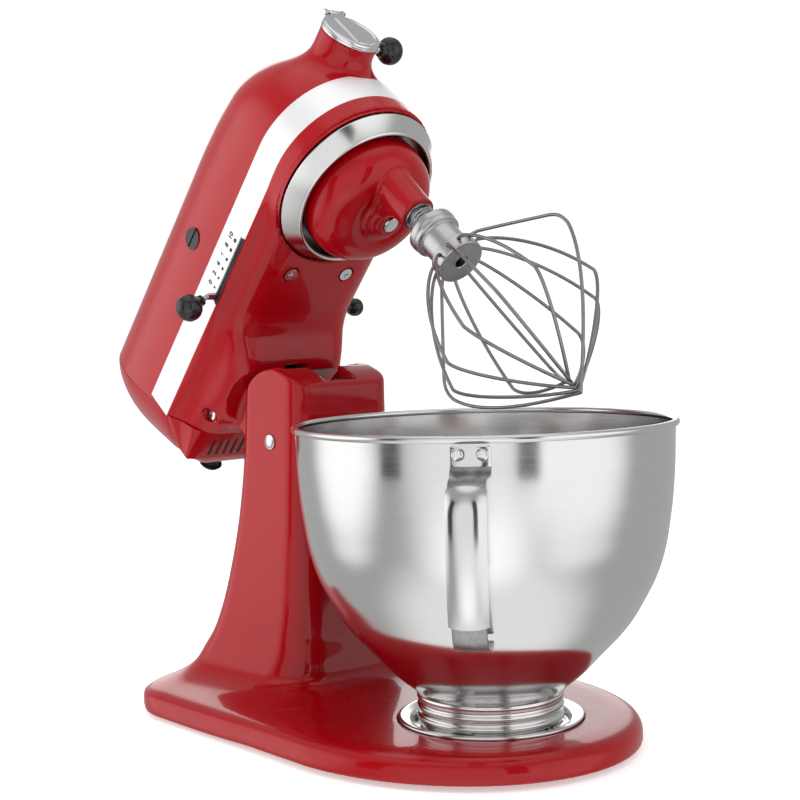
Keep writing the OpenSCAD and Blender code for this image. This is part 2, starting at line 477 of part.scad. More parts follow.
module worm() color("#8a8c90") {
  x0 = -49.5;
  m_axis(x0) rotate(270 - 360 * (rack_x - x0) / lead) linear_extrude(height = 27, twist = -360 * 27 / lead, slices = 64) translate([1.45, 0]) circle(r = 7, $fn = 18);
  m_axis(-22.5) cylinder(r = 4, h = 6, $fn = 48);
}
module pinion_shaft() color("#9c9ea2") translate([rack_x, rack_y, 0]) {
  translate([0, 0, 246.6]) cylinder(r = 5, h = 60, $fn = 48);
  translate([0, 0, 252]) rotate(atan2(rack_y, rack_x) + 180 + 11.25) gear(16, gear_m, 0.82, 8);
}
module worm_wheel() color("#c9a24a") translate([rack_x, rack_y, 294]) difference() {
  rotate(0) gear(24, 1.5, 0.62, 5, 0.42, 1.5);
  translate([0, 0, -1]) cylinder(r = 5.01, h = 10, $fn = 48);
}

// ---------- planetary drive ----------
module centre_shaft() color("#a4a6aa") translate([0, 0, 203.6]) cylinder(r = 8, h = 80, $fn = 64);
module centre_gear() color("#8f9195") difference() {
  translate([0, 0, 252]) rotate(atan2(rack_y, rack_x)) gear(48, gear_m, 0.82, 8);
  translate([0, 0, 250]) cylinder(r = 8.01, h = 20, $fn = 64);
}
module bevel(h) linear_extrude(height = h, scale = (16 - h) / 16) polygon(dedup(gear_pts(16, 2, 0.72, 0.9, 1.5)));
module centre_bevel() color("#8f9195") {
  difference() {
    translate([0, 0, 282]) bevel(4);
    translate([0, 0, 281]) cylinder(r = 8.01, h = 2.62, $fn = 64);
  }
  translate([0, 0, 277]) tube(12, 8.01, 5.01);
}
module hub_drive() color("#8f9195") difference() {
  union() {
    along_x(16) translate([-hub_z, 0, 0]) mirror([0, 0, 1]) rotate(11.25) bevel(4);
    along_x(15.9) translate([-hub_z, 0, 0]) cylinder(r = 13, h = 40.1, $fn = 96);
  }
  translate([34, -4.3, hub_z - 4.3]) cube([40, 8.6, 8.6]);
}
module hub_bearing() color("#b98a3c") along_x(38) translate([-hub_z, 0, 0]) tube(16.47, 13.06, 14);
flap_x = 72.1;
flap_z = hub_z + 21;
module hub_collar() color("#e2e2e2") difference() {
  union() {
    along_x(56.4) translate([-hub_z, 0, 0]) difference() {
      union() { cylinder(r = 16.5, h = 14.6, $fn = 96); translate([0, 0, 12.6]) cylinder(r = 19.2, h = 2, $fn = 96); }
      translate([0, 0, -1]) cylinder(r = 15, h = 20, $fn = 96);
    }
    // ears and pin of the flap
    both() { translate([69.1, 5.3, hub_z + 16.2]) cube([1.9, 2.8, 6.4]); translate([70.9, 5.3, hub_z + 18.9]) cube([2.6, 2.8, 3.7]); }
    translate([flap_x, 0, flap_z]) along_y(-6) cylinder(r = 0.8, h = 12, $fn = 32);
  }
  translate([62, 0, hub_z]) along_y(10) cylinder(r = 2.6, h = 20, $fn = 32);
}
module hub_cap() color("#e2e2e2") difference() {
  union() {
    along_x(71.1) translate([-hub_z, 0, 0]) cylinder(r = 19, h = 1.8, $fn = 96);
    translate([flap_x, 0, flap_z]) along_y(-4.9) cylinder(r = 1.6, h = 9.8, $fn = 48);
    translate([71.2, -4.9, hub_z + 17]) cube([1.7, 9.8, 4]);
  }
  along_x(72.1) translate([-hub_z, 0, 0]) difference() { cylinder(r = 16, h = 3, $fn = 96); translate([-18, -4.2, -1]) cube([36, 8.4, 5]); }
  translate([flap_x, 0, flap_z]) along_y(-6) cylinder(r = 0.86, h = 12, $fn = 32);
}
module hub_screw() color("#c8c8c8") translate([62, 0, hub_z]) along_y(17.4) cylinder(r = 2.5, h = 14, $fn = 32);
module hub_knob() color("#141414") translate([62, 0, hub_z]) along_y(0) difference() {
  rotate_extrude($fn = 64) polygon([[0, 27.6], [4.4, 27.6], [5, 30], [6.8, 31.4], [8.3, 33.6], [8.75, 36.2], [8.3, 39.2], [6.6, 42], [4, 43.6], [0, 44.1]]);
  translate([0, 0, 20]) cylinder(r = 2.52, h = 11.4, $fn = 32);
}
module ring_gear() color("#8a8c90") translate([0, 0, 235.6]) difference() {
  cylinder(r = 47.4, h = 8, $fn = 128);
  translate([0, 0, -1]) rotate(beater_az) gear(60, ring_m, 1.2, 12, 1.25, 1);
}
module planet_pinion() color("#9c9ea2") translate([e_ax[0], e_ax[1], 236]) difference() {
  rotate(beater_az) gear(20, ring_m, 0.8, 7);
  translate([0, 0, -1]) cylinder(r = 6.37, h = 12, $fn = 64);
}
module drip_ring() color("#d6d6d6") rotate_extrude($fn = 160) {
  polygon(concat([[51.6, 241.2], [52.5, 241.2], [52.7, 237.3], [53.9, 235.7]],
    [for (a = [-30:-20:-210]) [46.3 + 1.25 * cos(a), 226.3 + 1.25 * sin(a)]], [[51.6, 235.2]]));
}
module shaft_bushes() color("#b98a3c") {
  translate([0, 0, 244]) tube(11, 8.05, 5.6);
}
module planetary() color(red) difference() {
  union() {
    rotate_extrude($fn = 128) polygon([[0, 231.6], [43.2, 231.6], [43.2, 224], [42.3, 219], [39.5, 213.5], [34, 208.5], [25, 205], [12, 203.2], [0, 203]]);
    translate([0, 0, 198.5]) cylinder(r = 9.4, h = 12, $fn = 64);
    rotate(beater_az) translate([0, -8.9, 198.7]) cube([beater_e, 17.8, 11]);
    translate([e_ax[0], e_ax[1], 179.6]) cylinder(r = 11.5, h = 40, $fn = 64);
    translate([e_ax[0], e_ax[1], 195.5]) cylinder(r = 13.2, h = 18, $fn = 64);
  }
  translate([0, 0, 203.6]) cylinder(r = 8.01, h = 60, $fn = 64);
  translate([0, 0, 190]) cylinder(r = 5.02, h = 10.4, $fn = 48);
  translate([e_ax[0], e_ax[1], 150]) cylinder(r = 6.4, h = 100, $fn = 64);
}
module planetary_pin() color("#d8d8d8") translate([0, 0, 197.7]) cylinder(r = 5, h = 2.7, $fn = 48);

// ---------- beater shaft and whip ----------
module at_beater() translate([e_ax[0], e_ax[1], 0]) children();
module beater_shaft() color("#b9bbbf") at_beater() difference() {
  translate([0, 0, 150.5]) cylinder(r = 6.35, h = 93, $fn = 64);
  translate([-12, 0, 162]) rotate([0, 90, 0]) cylinder(r = 1.6, h = 24, $fn = 24);
}
module shaft_drive_pin() color("#8f9195") at_beater() translate([-9.4, 0, 162]) rotate([0, 90, 0]) cylinder(r = 1.58, h = 18.8, $fn = 24);
module shaft_washer() color("#c8c8c8") at_beater() translate([0, 0, 178]) tube(9, 6.37, 1.4);
module beater_spring() color("#b0b2b5") at_beater() {
  n = 54;
  skin([for (k = [n:-1:0]) let (a = 360 * 4.5 * k / n, z = 167.1 + 10 * k / n, c = [7.8 * cos(a), 7.8 * sin(a), z])
    [for (i = [0:7]) let (b = 45 * i) c + 0.72 * (cos(b) * [cos(a), sin(a), 0] + sin(b) * [0, 0, 1])]]);
}
whip_az = 5.3;
module whip_hub() color("#b4b6ba") at_beater() difference() {
  union() {
    translate([0, 0, 134.5]) cylinder(r = 14.5, h = 9, $fn = 96);
    translate([0, 0, 143.4]) cylinder(r = 12, h = 14.7, $fn = 96);
    translate([0, 0, 158]) cylinder(r = 15, h = 8, $fn = 96);
  }
  translate([0, 0, 141.9]) cylinder(r = 6.42, h = 30, $fn = 64);
  translate([0, 0, 130]) cylinder(r = 4, h = 30, $fn = 48);
  // bayonet way of the drive pin
  translate([-10.2, -1.75, 150.4]) cube([20.4, 3.5, 13.4]);
  rotate(50) translate([-10.2, -1.75, 150.5]) cube([20.4, 3.5, 20]);
  for (s = [2, 182]) rotate(s) rotate_extrude(angle = 47, $fn = 64) translate([5, 150.45]) square([5, 4]);
  // wire holes
  for (k = [0:11]) rotate(whip_az + 30 * k) translate([7.5, 0, 139.5]) rotate([0, 90, 0]) cylinder(r = wire_r + 0.06, h = 9, $fn = 24);
}
function balloon(i, n = 15) = let (zb = tip_z + 2.1 + 2.1 * i, R = balloon_r - 0.6 * i)
  concat([[8, 139.5], [14, 139.5]], [for (k = [0:n]) bez([15.2, 139.5], [22, 136], [R - 7, 112], [R, 74], k / n)],
    [for (k = [1:n]) bez([R, 74], [R - 1.5, 62], [12, zb + 6.5], [0, zb], k / n)]);
square_loop = concat([[8, 139.5], [14, 139.5], [16.5, 139], [19.5, 137.2], [22.5, 134.8], [38, 120.2], [52.5, 106.3]],
  [for (k = [0:6]) bez([56.5, 102.5], [61.5, 97.7], [63.2, 94], [62.2, 87.5], k / 6)],
  [for (k = [1:16]) bez([62.2, 87.5], [53.6, 60], [8.6, tip_z + 7.1], [0, tip_z], k / 16)]);
function whole(half) = concat(half, [for (i = [len(half) - 2:-1:0]) [-half[i][0], half[i][1]]]);
module loop(half, az) rotate(az) wire([for (p = whole(half)) [p[0], 0, p[1]]], wire_r, [0, 1, 0]);
module whip_wires() color("#c6c8cb") at_beater() {
  loop(square_loop, whip_az);
  for (i = [0:balloons - 1]) loop(balloon(i), whip_az + 30 * (i + 1));
}

// ---------- controls ----------
lever_x = -99;
module speed_lever() color("#b0b2b5") {
  translate([lever_x, -61, 253]) cube([4, 24, 2]);
  translate([lever_x, -39, 250.2]) cube([4, 2, 5]);
  translate([lever_x + 1.9, -60.5, 254]) rotate([90, 0, 0]) rotate([14.2, -23.8, 0]) cylinder(r = 1.6, h = 10, $fn = 24);
}
module speed_knob() color("#141414") difference() {
  translate([lever_x + 1.9, -60.5, 254]) rotate([90, 0, 0]) rotate([14.2, -23.8, 0]) translate([0, 0, 4.5])
    rotate_extrude($fn = 64) polygon([[0, 0], [3.4, 0], [4.2, 3], [6.6, 5.2], [8.2, 8], [8.5, 11], [7.8, 14.2], [5.4, 17], [2.6, 18.2], [0, 18.4]]);
  translate([lever_x + 1.9, -60.5, 254]) rotate([90, 0, 0]) rotate([14.2, -23.8, 0]) cylinder(r = 1.65, h = 10.2, $fn = 24);
}
lock_x = -110;
// Bolt with a toe that hooks under the keeper in the pedestal, and the arm to its knob
module lock_lever() color("#b0b2b5") {
  translate([-137, -8.6, 201]) cube([3, 17.2, 52]);
  translate([-134.1, -8.6, 201]) cube([3.6, 17.2, 3]);
  translate([-137, -8.6, 250.9]) cube([33, 17.2, 2.1]);
  translate([lock_x, 8.5, 250.9]) cube([6, 48.5, 2.1]);
}
module lock_knob() color("#141414") translate([lock_x + 3, 56.5, 251.9]) along_y(0) rotate_extrude($fn = 48)
  polygon([[0, 0.5], [2.8, 0.5], [3.2, 2], [5, 3.8], [6.1, 6.6], [5.8, 10], [3.8, 12.3], [0, 13]]);

base_casting();
pedestal();
base_screws();
rubber_feet();
bowl_clamp_plate();
clamp_screws();
hinge_pin();
pin_set_screw();
lock_keeper();
bowl_shell();
bowl_foot();
bowl_handle();
bowl_rivets();
head() upper_housing();
head() lower_gearcase();
head() rear_end_cover();
head() trim_band();
head() speed_scale();
head() gearcase_screws();
head() cover_screws();
head() brush_caps();
head() brush_holders();
head() carbon_brushes();
head() stator_core();
head() field_coils();
head() motor_bearings();
head() bearing_plates();
head() control_plate();
head() cord_grommet();
head() hub_collar();
head() hub_bearing();
head() ring_gear();
head() drip_ring();
head() shaft_bushes();
head() armature_core();
head() commutator();
head() cooling_fan();
head() worm();
head() pinion_shaft();
head() worm_wheel();
head() planetary();
head() planetary_pin();
head() centre_shaft();
head() centre_gear();
head() centre_bevel();
head() hub_drive();
head() beater_shaft();
head() planet_pinion();
head() shaft_washer();
head() beater_spring();
head() shaft_drive_pin();
head() whip_hub();
head() whip_wires();
head() speed_lever();
head() speed_knob();
head() lock_lever();
head() lock_knob();
head() hub_screw();
head() hub_knob();
head() hub_cap();
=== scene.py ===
import math, json
import bpy, bmesh
import numpy as np
from mathutils import Matrix, Vector


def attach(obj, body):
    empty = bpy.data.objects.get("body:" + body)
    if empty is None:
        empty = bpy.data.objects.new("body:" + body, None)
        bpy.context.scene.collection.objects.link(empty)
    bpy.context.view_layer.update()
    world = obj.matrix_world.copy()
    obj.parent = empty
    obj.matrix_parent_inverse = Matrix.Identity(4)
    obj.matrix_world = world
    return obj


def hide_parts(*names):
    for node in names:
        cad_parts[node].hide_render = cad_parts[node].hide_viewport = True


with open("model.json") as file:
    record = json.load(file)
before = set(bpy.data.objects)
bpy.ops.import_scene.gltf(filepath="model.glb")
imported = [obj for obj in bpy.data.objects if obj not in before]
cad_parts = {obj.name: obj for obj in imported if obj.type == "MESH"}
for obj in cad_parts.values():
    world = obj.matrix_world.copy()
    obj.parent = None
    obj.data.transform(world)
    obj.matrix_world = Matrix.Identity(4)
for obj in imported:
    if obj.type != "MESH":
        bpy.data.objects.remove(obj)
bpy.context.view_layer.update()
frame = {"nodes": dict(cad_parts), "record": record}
scene = bpy.context.scene
rec = frame["record"]

# ---------------------------------------------------------------- placing
TH = math.radians(50.35)
PX, PZ = -147.17, 171.44
HM = np.eye(4)
HM[0, 0] = math.cos(TH); HM[0, 2] = -math.sin(TH); HM[2, 0] = math.sin(TH); HM[2, 2] = math.cos(TH)
HM[0, 3] = PX - PX * math.cos(TH) + PZ * math.sin(TH)
HM[2, 3] = PZ - PX * math.sin(TH) - PZ * math.cos(TH)
AZB = math.radians(-9.68)
EX, EY = 21.36 * math.cos(AZB), 21.36 * math.sin(AZB)


def shift(x, y, z):
    m = np.eye(4); m[:3, 3] = (x, y, z); return m


def rot(axis, deg):
    m = np.eye(4); m[:3, :3] = np.array(Matrix.Rotation(math.radians(deg), 3, axis)); return m


# ---------------------------------------------------------------- materials
def nodes_of(name):
    m = bpy.data.materials.new(name); m.use_nodes = True
    nt = m.node_tree
    return m, nt, nt.nodes["Principled BSDF"]


def coords(nt, attr, scale):
    if attr:
        a = nt.nodes.new("ShaderNodeAttribute"); a.attribute_name = "grain"; out = a.outputs["Vector"]
    else:
        a = nt.nodes.new("ShaderNodeTexCoord"); out = a.outputs["Object"]
    mp = nt.nodes.new("ShaderNodeMapping"); mp.inputs["Scale"].default_value = scale
    nt.links.new(out, mp.inputs["Vector"])
    return mp.outputs["Vector"]


def noise(nt, vec, scale, detail=3.0, rough=0.5):
    n = nt.nodes.new("ShaderNodeTexNoise")
    n.inputs["Scale"].default_value = scale; n.inputs["Detail"].default_value = detail; n.inputs["Roughness"].default_value = rough
    nt.links.new(vec, n.inputs["Vector"])
    return n.outputs["Fac"]


def remap(nt, fac, lo, hi, a=0.3, b=0.7):
    r = nt.nodes.new("ShaderNodeMapRange")
    r.inputs["From Min"].default_value = a; r.inputs["From Max"].default_value = b
    r.inputs["To Min"].default_value = lo; r.inputs["To Max"].default_value = hi
    nt.links.new(fac, r.inputs["Value"])
    return r.outputs["Result"]


def ramp(nt, fac, c0, c1, a=0.35, b=0.65):
    r = nt.nodes.new("ShaderNodeValToRGB")
    r.color_ramp.elements[0].position = a; r.color_ramp.elements[0].color = (*c0, 1)
    r.color_ramp.elements[1].position = b; r.color_ramp.elements[1].color = (*c1, 1)
    nt.links.new(fac, r.inputs["Fac"])
    return r.outputs["Color"]


def bump(nt, fac, strength, dist):
    b = nt.nodes.new("ShaderNodeBump")
    b.inputs["Strength"].default_value = strength; b.inputs["Distance"].default_value = dist
    nt.links.new(fac, b.inputs["Height"])
    return b.outputs["Normal"]


def enamel(name, c0, c1):
    m, nt, p = nodes_of(name)
    v = coords(nt, False, (1, 1, 1))
    nt.links.new(ramp(nt, noise(nt, v, 9, 3), c0, c1), p.inputs["Base Color"])
    nt.links.new(remap(nt, noise(nt, v, 60, 5, 0.6), 0.26, 0.32), p.inputs["Roughness"])
    p.inputs["Coat Weight"].default_value = 0.55
    p.inputs["Coat Roughness"].default_value = 0.05
    p.inputs["Coat IOR"].default_value = 1.52
    p.inputs["Specular IOR Level"].default_value = 0.08
    nb = bump(nt, noise(nt, v, 260, 2), 0.03, 0.00003)
    nt.links.new(nb, p.inputs["Normal"]); nt.links.new(nb, p.inputs["Coat Normal"])
    return m


def metal(name, c0, c1, r0, r1, attr=False, gs=(1, 1, 1), fine=2500.0, bstr=0.1, bdist=0.00003, aniso=0.0, met=1.0):
    m, nt, p = nodes_of(name)
    v = coords(nt, attr, gs)
    n1 = noise(nt, v, fine, 4, 0.6)
    o = coords(nt, False, (1, 1, 1))
    n2 = noise(nt, o, 35, 4)
    nt.links.new(ramp(nt, n1, c0, c1), p.inputs["Base Color"])
    mx = nt.nodes.new("ShaderNodeMath"); mx.operation = "MULTIPLY_ADD"; mx.inputs[1].default_value = 0.6
    nt.links.new(n1, mx.inputs[0])
    hl = nt.nodes.new("ShaderNodeMath"); hl.operation = "MULTIPLY"; hl.inputs[1].default_value = 0.4
    nt.links.new(n2, hl.inputs[0]); nt.links.new(hl.outputs[0], mx.inputs[2])
    nt.links.new(remap(nt, mx.outputs[0], r0, r1), p.inputs["Roughness"])
    p.inputs["Metallic"].default_value = met
    if aniso:
        p.inputs["Anisotropic"].default_value = aniso
    nt.links.new(bump(nt, n1, bstr, bdist), p.inputs["Normal"])
    return m


def plastic(name, c0, c1, r0, r1, scale=300, bstr=0.15, bdist=0.00005, spec=0.5):
    m, nt, p = nodes_of(name)
    v = coords(nt, False, (1, 1, 1))
    n1 = noise(nt, v, scale, 4)
    nt.links.new(ramp(nt, noise(nt, v, 40, 3), c0, c1), p.inputs["Base Color"])
    nt.links.new(remap(nt, n1, r0, r1), p.inputs["Roughness"])
    p.inputs["Specular IOR Level"].default_value = spec
    nt.links.new(bump(nt, noise(nt, v, scale * 3, 2), bstr, bdist), p.inputs["Normal"])
    return m


MAT = {
    "red_enamel": enamel("red_enamel", (0.300, 0.0008, 0.0040), (0.318, 0.0011, 0.0050)),
    "polished_steel": metal("polished_steel", (0.66, 0.65, 0.65), (0.72, 0.715, 0.71), 0.10, 0.20),
    "bright_chrome": metal("bright_chrome", (0.72, 0.72, 0.73), (0.80, 0.80, 0.81), 0.05, 0.12, fine=900),
    "satin_aluminium": metal("satin_aluminium", (0.52, 0.52, 0.53), (0.60, 0.60, 0.61), 0.26, 0.40, bstr=0.2),
    "whip_wire": metal("whip_wire", (0.27, 0.265, 0.258), (0.31, 0.305, 0.298), 0.30, 0.38, fine=300, bstr=0.02, bdist=0.00001),
    "band_metal": metal("band_metal", (0.80, 0.80, 0.81), (0.84, 0.84, 0.845), 0.34, 0.46, fine=1600, bstr=0.08, met=0.5),
    "scale_ink": plastic("scale_ink", (0.012, 0.012, 0.012), (0.02, 0.02, 0.02), 0.45, 0.6),
    "black_knob": plastic("black_knob", (0.006, 0.006, 0.007), (0.012, 0.012, 0.013), 0.10, 0.2, scale=220, bstr=0.06),
    "black_rubber": plastic("black_rubber", (0.012, 0.012, 0.012), (0.025, 0.025, 0.025), 0.6, 0.8, bstr=0.4),
    "plain_steel": metal("plain_steel", (0.42, 0.43, 0.44), (0.54, 0.55, 0.56), 0.18, 0.34, fine=1200),
    "gear_steel": metal("gear_steel", (0.30, 0.31, 0.32), (0.42, 0.43, 0.44), 0.25, 0.42, fine=700),
    "cast_alloy": metal("cast_alloy", (0.45, 0.46, 0.47), (0.58, 0.59, 0.60), 0.42, 0.6, fine=500, bstr=0.4, bdist=0.0001),
    "bronze": metal("bronze", (0.50, 0.34, 0.13), (0.62, 0.45, 0.2), 0.25, 0.42, fine=800),
    "copper": metal("copper", (0.5, 0.2, 0.09), (0.66, 0.33, 0.16), 0.25, 0.45, fine=900),
    "carbon": plastic("carbon", (0.02, 0.02, 0.02), (0.05, 0.05, 0.05), 0.5, 0.8),
    "fan_plastic": plastic("fan_plastic", (0.62, 0.58, 0.5), (0.72, 0.68, 0.6), 0.4, 0.55),
    "board_green": plastic("board_green", (0.03, 0.12, 0.05), (0.06, 0.18, 0.08), 0.35, 0.5),
}
GRAIN = {
    "polished_steel": metal("polished_steel_spun", (0.70, 0.695, 0.69), (0.745, 0.74, 0.735), 0.115, 0.205, True, (1, 1, 1), 1.0, 0.10, 0.00002, 0.35),
    "bright_chrome": metal("bright_chrome_turned", (0.72, 0.72, 0.73), (0.82, 0.82, 0.83), 0.05, 0.13, True, (0.7, 1, 1), 1.0, 0.06, 0.00002),
    "satin_aluminium": metal("satin_aluminium_turned", (0.50, 0.50, 0.51), (0.62, 0.62, 0.63), 0.22, 0.38, True, (1, 1, 1), 1.0, 0.22, 0.00003, 0.4),
}
slots = {s["node"]: s["material_slot"] for s in rec["subparts"]}
for nn, ob in frame["nodes"].items():
    m = MAT[slots[nn]]
    if ob.material_slots:
        for s in ob.material_slots:
            s.link = "OBJECT"; s.material = m
    else:
        ob.data.materials.append(m)


# ---------------------------------------------------------------- mesh tools
def mk(name, vf, slot, body, M=None, sharp=38.0, rep=(), grain=None, flip=False):
    v, f = vf
    v = np.asarray(v, float)
    if M is not None:
        v = v @ M[:3, :3].T + M[:3, 3]
    me = bpy.data.meshes.new(name)
    me.from_pydata((v * 0.001).tolist(), [], [list(map(int, q)) for q in f])
    bm = bmesh.new(); bm.from_mesh(me)
    bmesh.ops.recalc_face_normals(bm, faces=bm.faces)
    bm.to_mesh(me); bm.free()
    me.shade_smooth()
    me.set_sharp_from_angle(angle=math.radians(sharp))
    mat = MAT[slot]
    if grain is not None:
        at = me.attributes.new("grain", "FLOAT_VECTOR", "POINT")
        at.data.foreach_set("vector", np.asarray(grain, float).ravel())
        mat = GRAIN.get(slot, mat)
    me.materials.append(mat)
    ob = bpy.data.objects.new(name, me)
    scene.collection.objects.link(ob)
    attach(ob, body)
    if rep:
        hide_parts(*rep)
    return ob


def rnd(pts, r, n=4, closed=False):
    out = []
    m = len(pts)
    for i in range(m):
        b = np.array(pts[i], float)
        if not closed and i in (0, m - 1):
            out.append(tuple(b)); continue
        a = np.array(pts[i - 1], float); c = np.array(pts[(i + 1) % m], float)
        u = a - b; w = c - b
        lu = np.linalg.norm(u); lw = np.linalg.norm(w)
        d = min(r, lu * 0.45, lw * 0.45)
        p0 = b + u / lu * d; p1 = b + w / lw * d
        for k in range(n + 1):
            t = k / n
            out.append(tuple((1 - t) ** 2 * p0 + 2 * t * (1 - t) * b + t * t * p1))
    return out


def revolve(prof, seg=128, closed=True):
    """Surface of revolution about Z with a grain coordinate: fine across the profile, slow round it."""
    V = []; G = []; rings = []
    s = 0.0; prev = None
    for (r, z) in prof:
        if prev is not None:
            s += math.hypot(r - prev[0], z - prev[1])
        prev = (r, z)
        if r < 1e-4:
            rings.append([len(V)]); V.append((0, 0, z)); G.append((s * 9.0, 0, 0))
        else:
            k0 = len(V)
            for k in range(seg):
                a = 2 * math.pi * k / seg
                V.append((r * math.cos(a), r * math.sin(a), z)); G.append((s * 9.0, 1.6 * math.cos(a), 1.6 * math.sin(a)))
            rings.append(list(range(k0, k0 + seg)))
    F = []
    pairs = list(zip(range(len(rings) - 1), range(1, len(rings))))
    if closed:
        pairs.append((len(rings) - 1, 0))
    for a, b in pairs:
        A, B = rings[a], rings[b]
        if len(A) == 1 and len(B) == 1:
            continue
        for k in range(seg):
            k2 = (k + 1) % seg
            if len(A) == 1:
                F.append((A[0], B[k2], B[k]))
            elif len(B) == 1:
                F.append((A[k], A[k2], B[0]))
            else:
                F.append((A[k], A[k2], B[k2], B[k]))
    return (V, F), G


def turned(name, prof, slot, body, M, rep=(), seg=128, closed=True, sharp=38.0):
    vf, g = revolve(prof, seg, closed)
    return mk(name, vf, slot, body, M, sharp, rep, g)


def pchip(xs, ys, x):
    xs = np.asarray(xs, float); ys = np.asarray(ys, float)
    h = np.diff(xs); d = np.diff(ys) / h
    m = np.zeros_like(xs)
    m[0] = d[0]; m[-1] = d[-1]
    for i in range(1, len(xs) - 1):
        if d[i - 1] * d[i] > 0:
            w1 = 2 * h[i] + h[i - 1]; w2 = h[i] + 2 * h[i - 1]
            m[i] = (w1 + w2) / (w1 / d[i - 1] + w2 / d[i])
    xc = np.clip(x, xs[0], xs[-1])
    i = np.clip(np.searchsorted(xs, xc) - 1, 0, len(xs) - 2)
    t = (xc - xs[i]) / h[i]
    return (ys[i] * (1 + 2 * t) * (1 - t) ** 2 + m[i] * h[i] * t * (1 - t) ** 2
            + ys[i + 1] * t * t * (3 - 2 * t) + m[i + 1] * h[i] * t * t * (t - 1))


def smax(a, b, k):
    h = np.clip(0.5 + 0.5 * (a - b) / k, 0, 1)
    return b * (1 - h) + a * h + k * h * (1 - h)


def smin(a, b, k):
    return -smax(-a, -b, k)


def grad(F, P, e=0.05):
    g = np.empty_like(P)
    for k in range(3):
        d = np.zeros(3); d[k] = e
        A = P + d; B = P - d
        g[:, k] = (F(A[:, 0], A[:, 1], A[:, 2]) - F(B[:, 0], B[:, 1], B[:, 2])) / (2 * e)
    return g


def nets(F, lo, hi, h, relax=3):
    """Quads over the surface F = 0, every corner moved onto the surface itself."""
    lo = np.array(lo, float); hi = np.array(hi, float)
    n = np.ceil((hi - lo) / h).astype(int) + 1
    ax = [lo[k] + h * np.arange(n[k]) for k in range(3)]
    V = np.empty(tuple(n))
    for i0 in range(0, n[0], 16):
        X, Y, Z = np.meshgrid(ax[0][i0:i0 + 16], ax[1], ax[2], indexing="ij")
        V[i0:i0 + 16] = F(X, Y, Z)
    nc = n - 1
    cnt = np.zeros(nc.prod()); acc = np.zeros((nc.prod(), 3))
    st = np.array([nc[1] * nc[2], nc[2], 1])
    store = []
    for a in range(3):
        b, c = (a + 1) % 3, (a + 2) % 3
        s0 = [slice(None)] * 3; s1 = [slice(None)] * 3
        s0[a] = slice(0, -1); s1[a] = slice(1, None)
        V0 = V[tuple(s0)]; V1 = V[tuple(s1)]
        cr = (V0 < 0) != (V1 < 0)
        ii = np.argwhere(cr)
        t = V0[cr] / (V0[cr] - V1[cr])
        pos = ii.astype(float); pos[:, a] += t
        for db in (0, 1):
            for dc in (0, 1):
                cell = ii.copy(); cell[:, b] -= db; cell[:, c] -= dc
                ok = np.all(cell >= 0, 1) & np.all(cell < nc, 1)
                fl = cell[ok] @ st
                for q in range(3):
                    acc[:, q] += np.bincount(fl, pos[ok, q], nc.prod())
                cnt += np.bincount(fl, None, nc.prod())
        store.append((ii, V0[cr] < 0))
    used = cnt > 0
    idx = -np.ones(nc.prod(), int); idx[used] = np.arange(used.sum())
    P = lo + h * (acc[used] / cnt[used][:, None])
    Q = []
    for a in range(3):
        b, c = (a + 1) % 3, (a + 2) % 3
        ii, inside = store[a]
        ok = (ii[:, b] > 0) & (ii[:, c] > 0) & (ii[:, b] < nc[b]) & (ii[:, c] < nc[c])
        ii = ii[ok]; inside = inside[ok]
        q = []
        for (db, dc) in ((1, 1), (0, 1), (0, 0), (1, 0)):
            cell = ii.copy(); cell[:, b] -= db; cell[:, c] -= dc
            q.append(idx[cell @ st])
        q = np.stack(q, 1)
        q[~inside] = q[~inside][:, ::-1]
        Q.append(q)
    Q = np.concatenate(Q)

    def onto(P, k):
        for _ in range(k):
            f = F(P[:, 0], P[:, 1], P[:, 2]); g = grad(F, P)
            s = f / np.maximum((g * g).sum(1), 1e-6)
            s = g * s[:, None]
            L = np.linalg.norm(s, axis=1, keepdims=True)
            s *= np.minimum(1, 0.6 * h / np.maximum(L, 1e-9))
            P = P - s
        return P

    P = onto(P, 3)
    E = np.concatenate([Q[:, [0, 1]], Q[:, [1, 2]], Q[:, [2, 3]], Q[:, [3, 0]]])
    for _ in range(relax):
        S = np.zeros_like(P); C = np.zeros(len(P))
        for a, b in ((0, 1), (1, 0)):
            for q in range(3):
                S[:, q] += np.bincount(E[:, a], P[E[:, b], q], len(P))
            C += np.bincount(E[:, a], None, len(P))
        P = onto(0.4 * P + 0.6 * S / C[:, None], 2)
    return P, Q


def cut(vf, planes):
    """Cuts a closed mesh by planes (point, outward normal) and closes each cut."""
    v, f = vf
    me = bpy.data.meshes.new("cut"); me.from_pydata(np.asarray(v).tolist(), [], np.asarray(f).tolist())
    bm = bmesh.new(); bm.from_mesh(me); bpy.data.meshes.remove(me)
    for co, no in planes:
        r = bmesh.ops.bisect_plane(bm, geom=bm.verts[:] + bm.edges[:] + bm.faces[:], dist=1e-5, plane_co=co, plane_no=no, clear_outer=True)
        ed = [e for e in r["geom_cut"] if isinstance(e, bmesh.types.BMEdge) and e.is_boundary]
        bmesh.ops.holes_fill(bm, edges=ed, sides=0)
    bmesh.ops.triangulate(bm, faces=[q for q in bm.faces if len(q.verts) > 4])
    bm.verts.index_update()
    V = [tuple(q.co) for q in bm.verts]; Fc = [[w.index for w in q.verts] for q in bm.faces]
    bm.free()
    return V, Fc


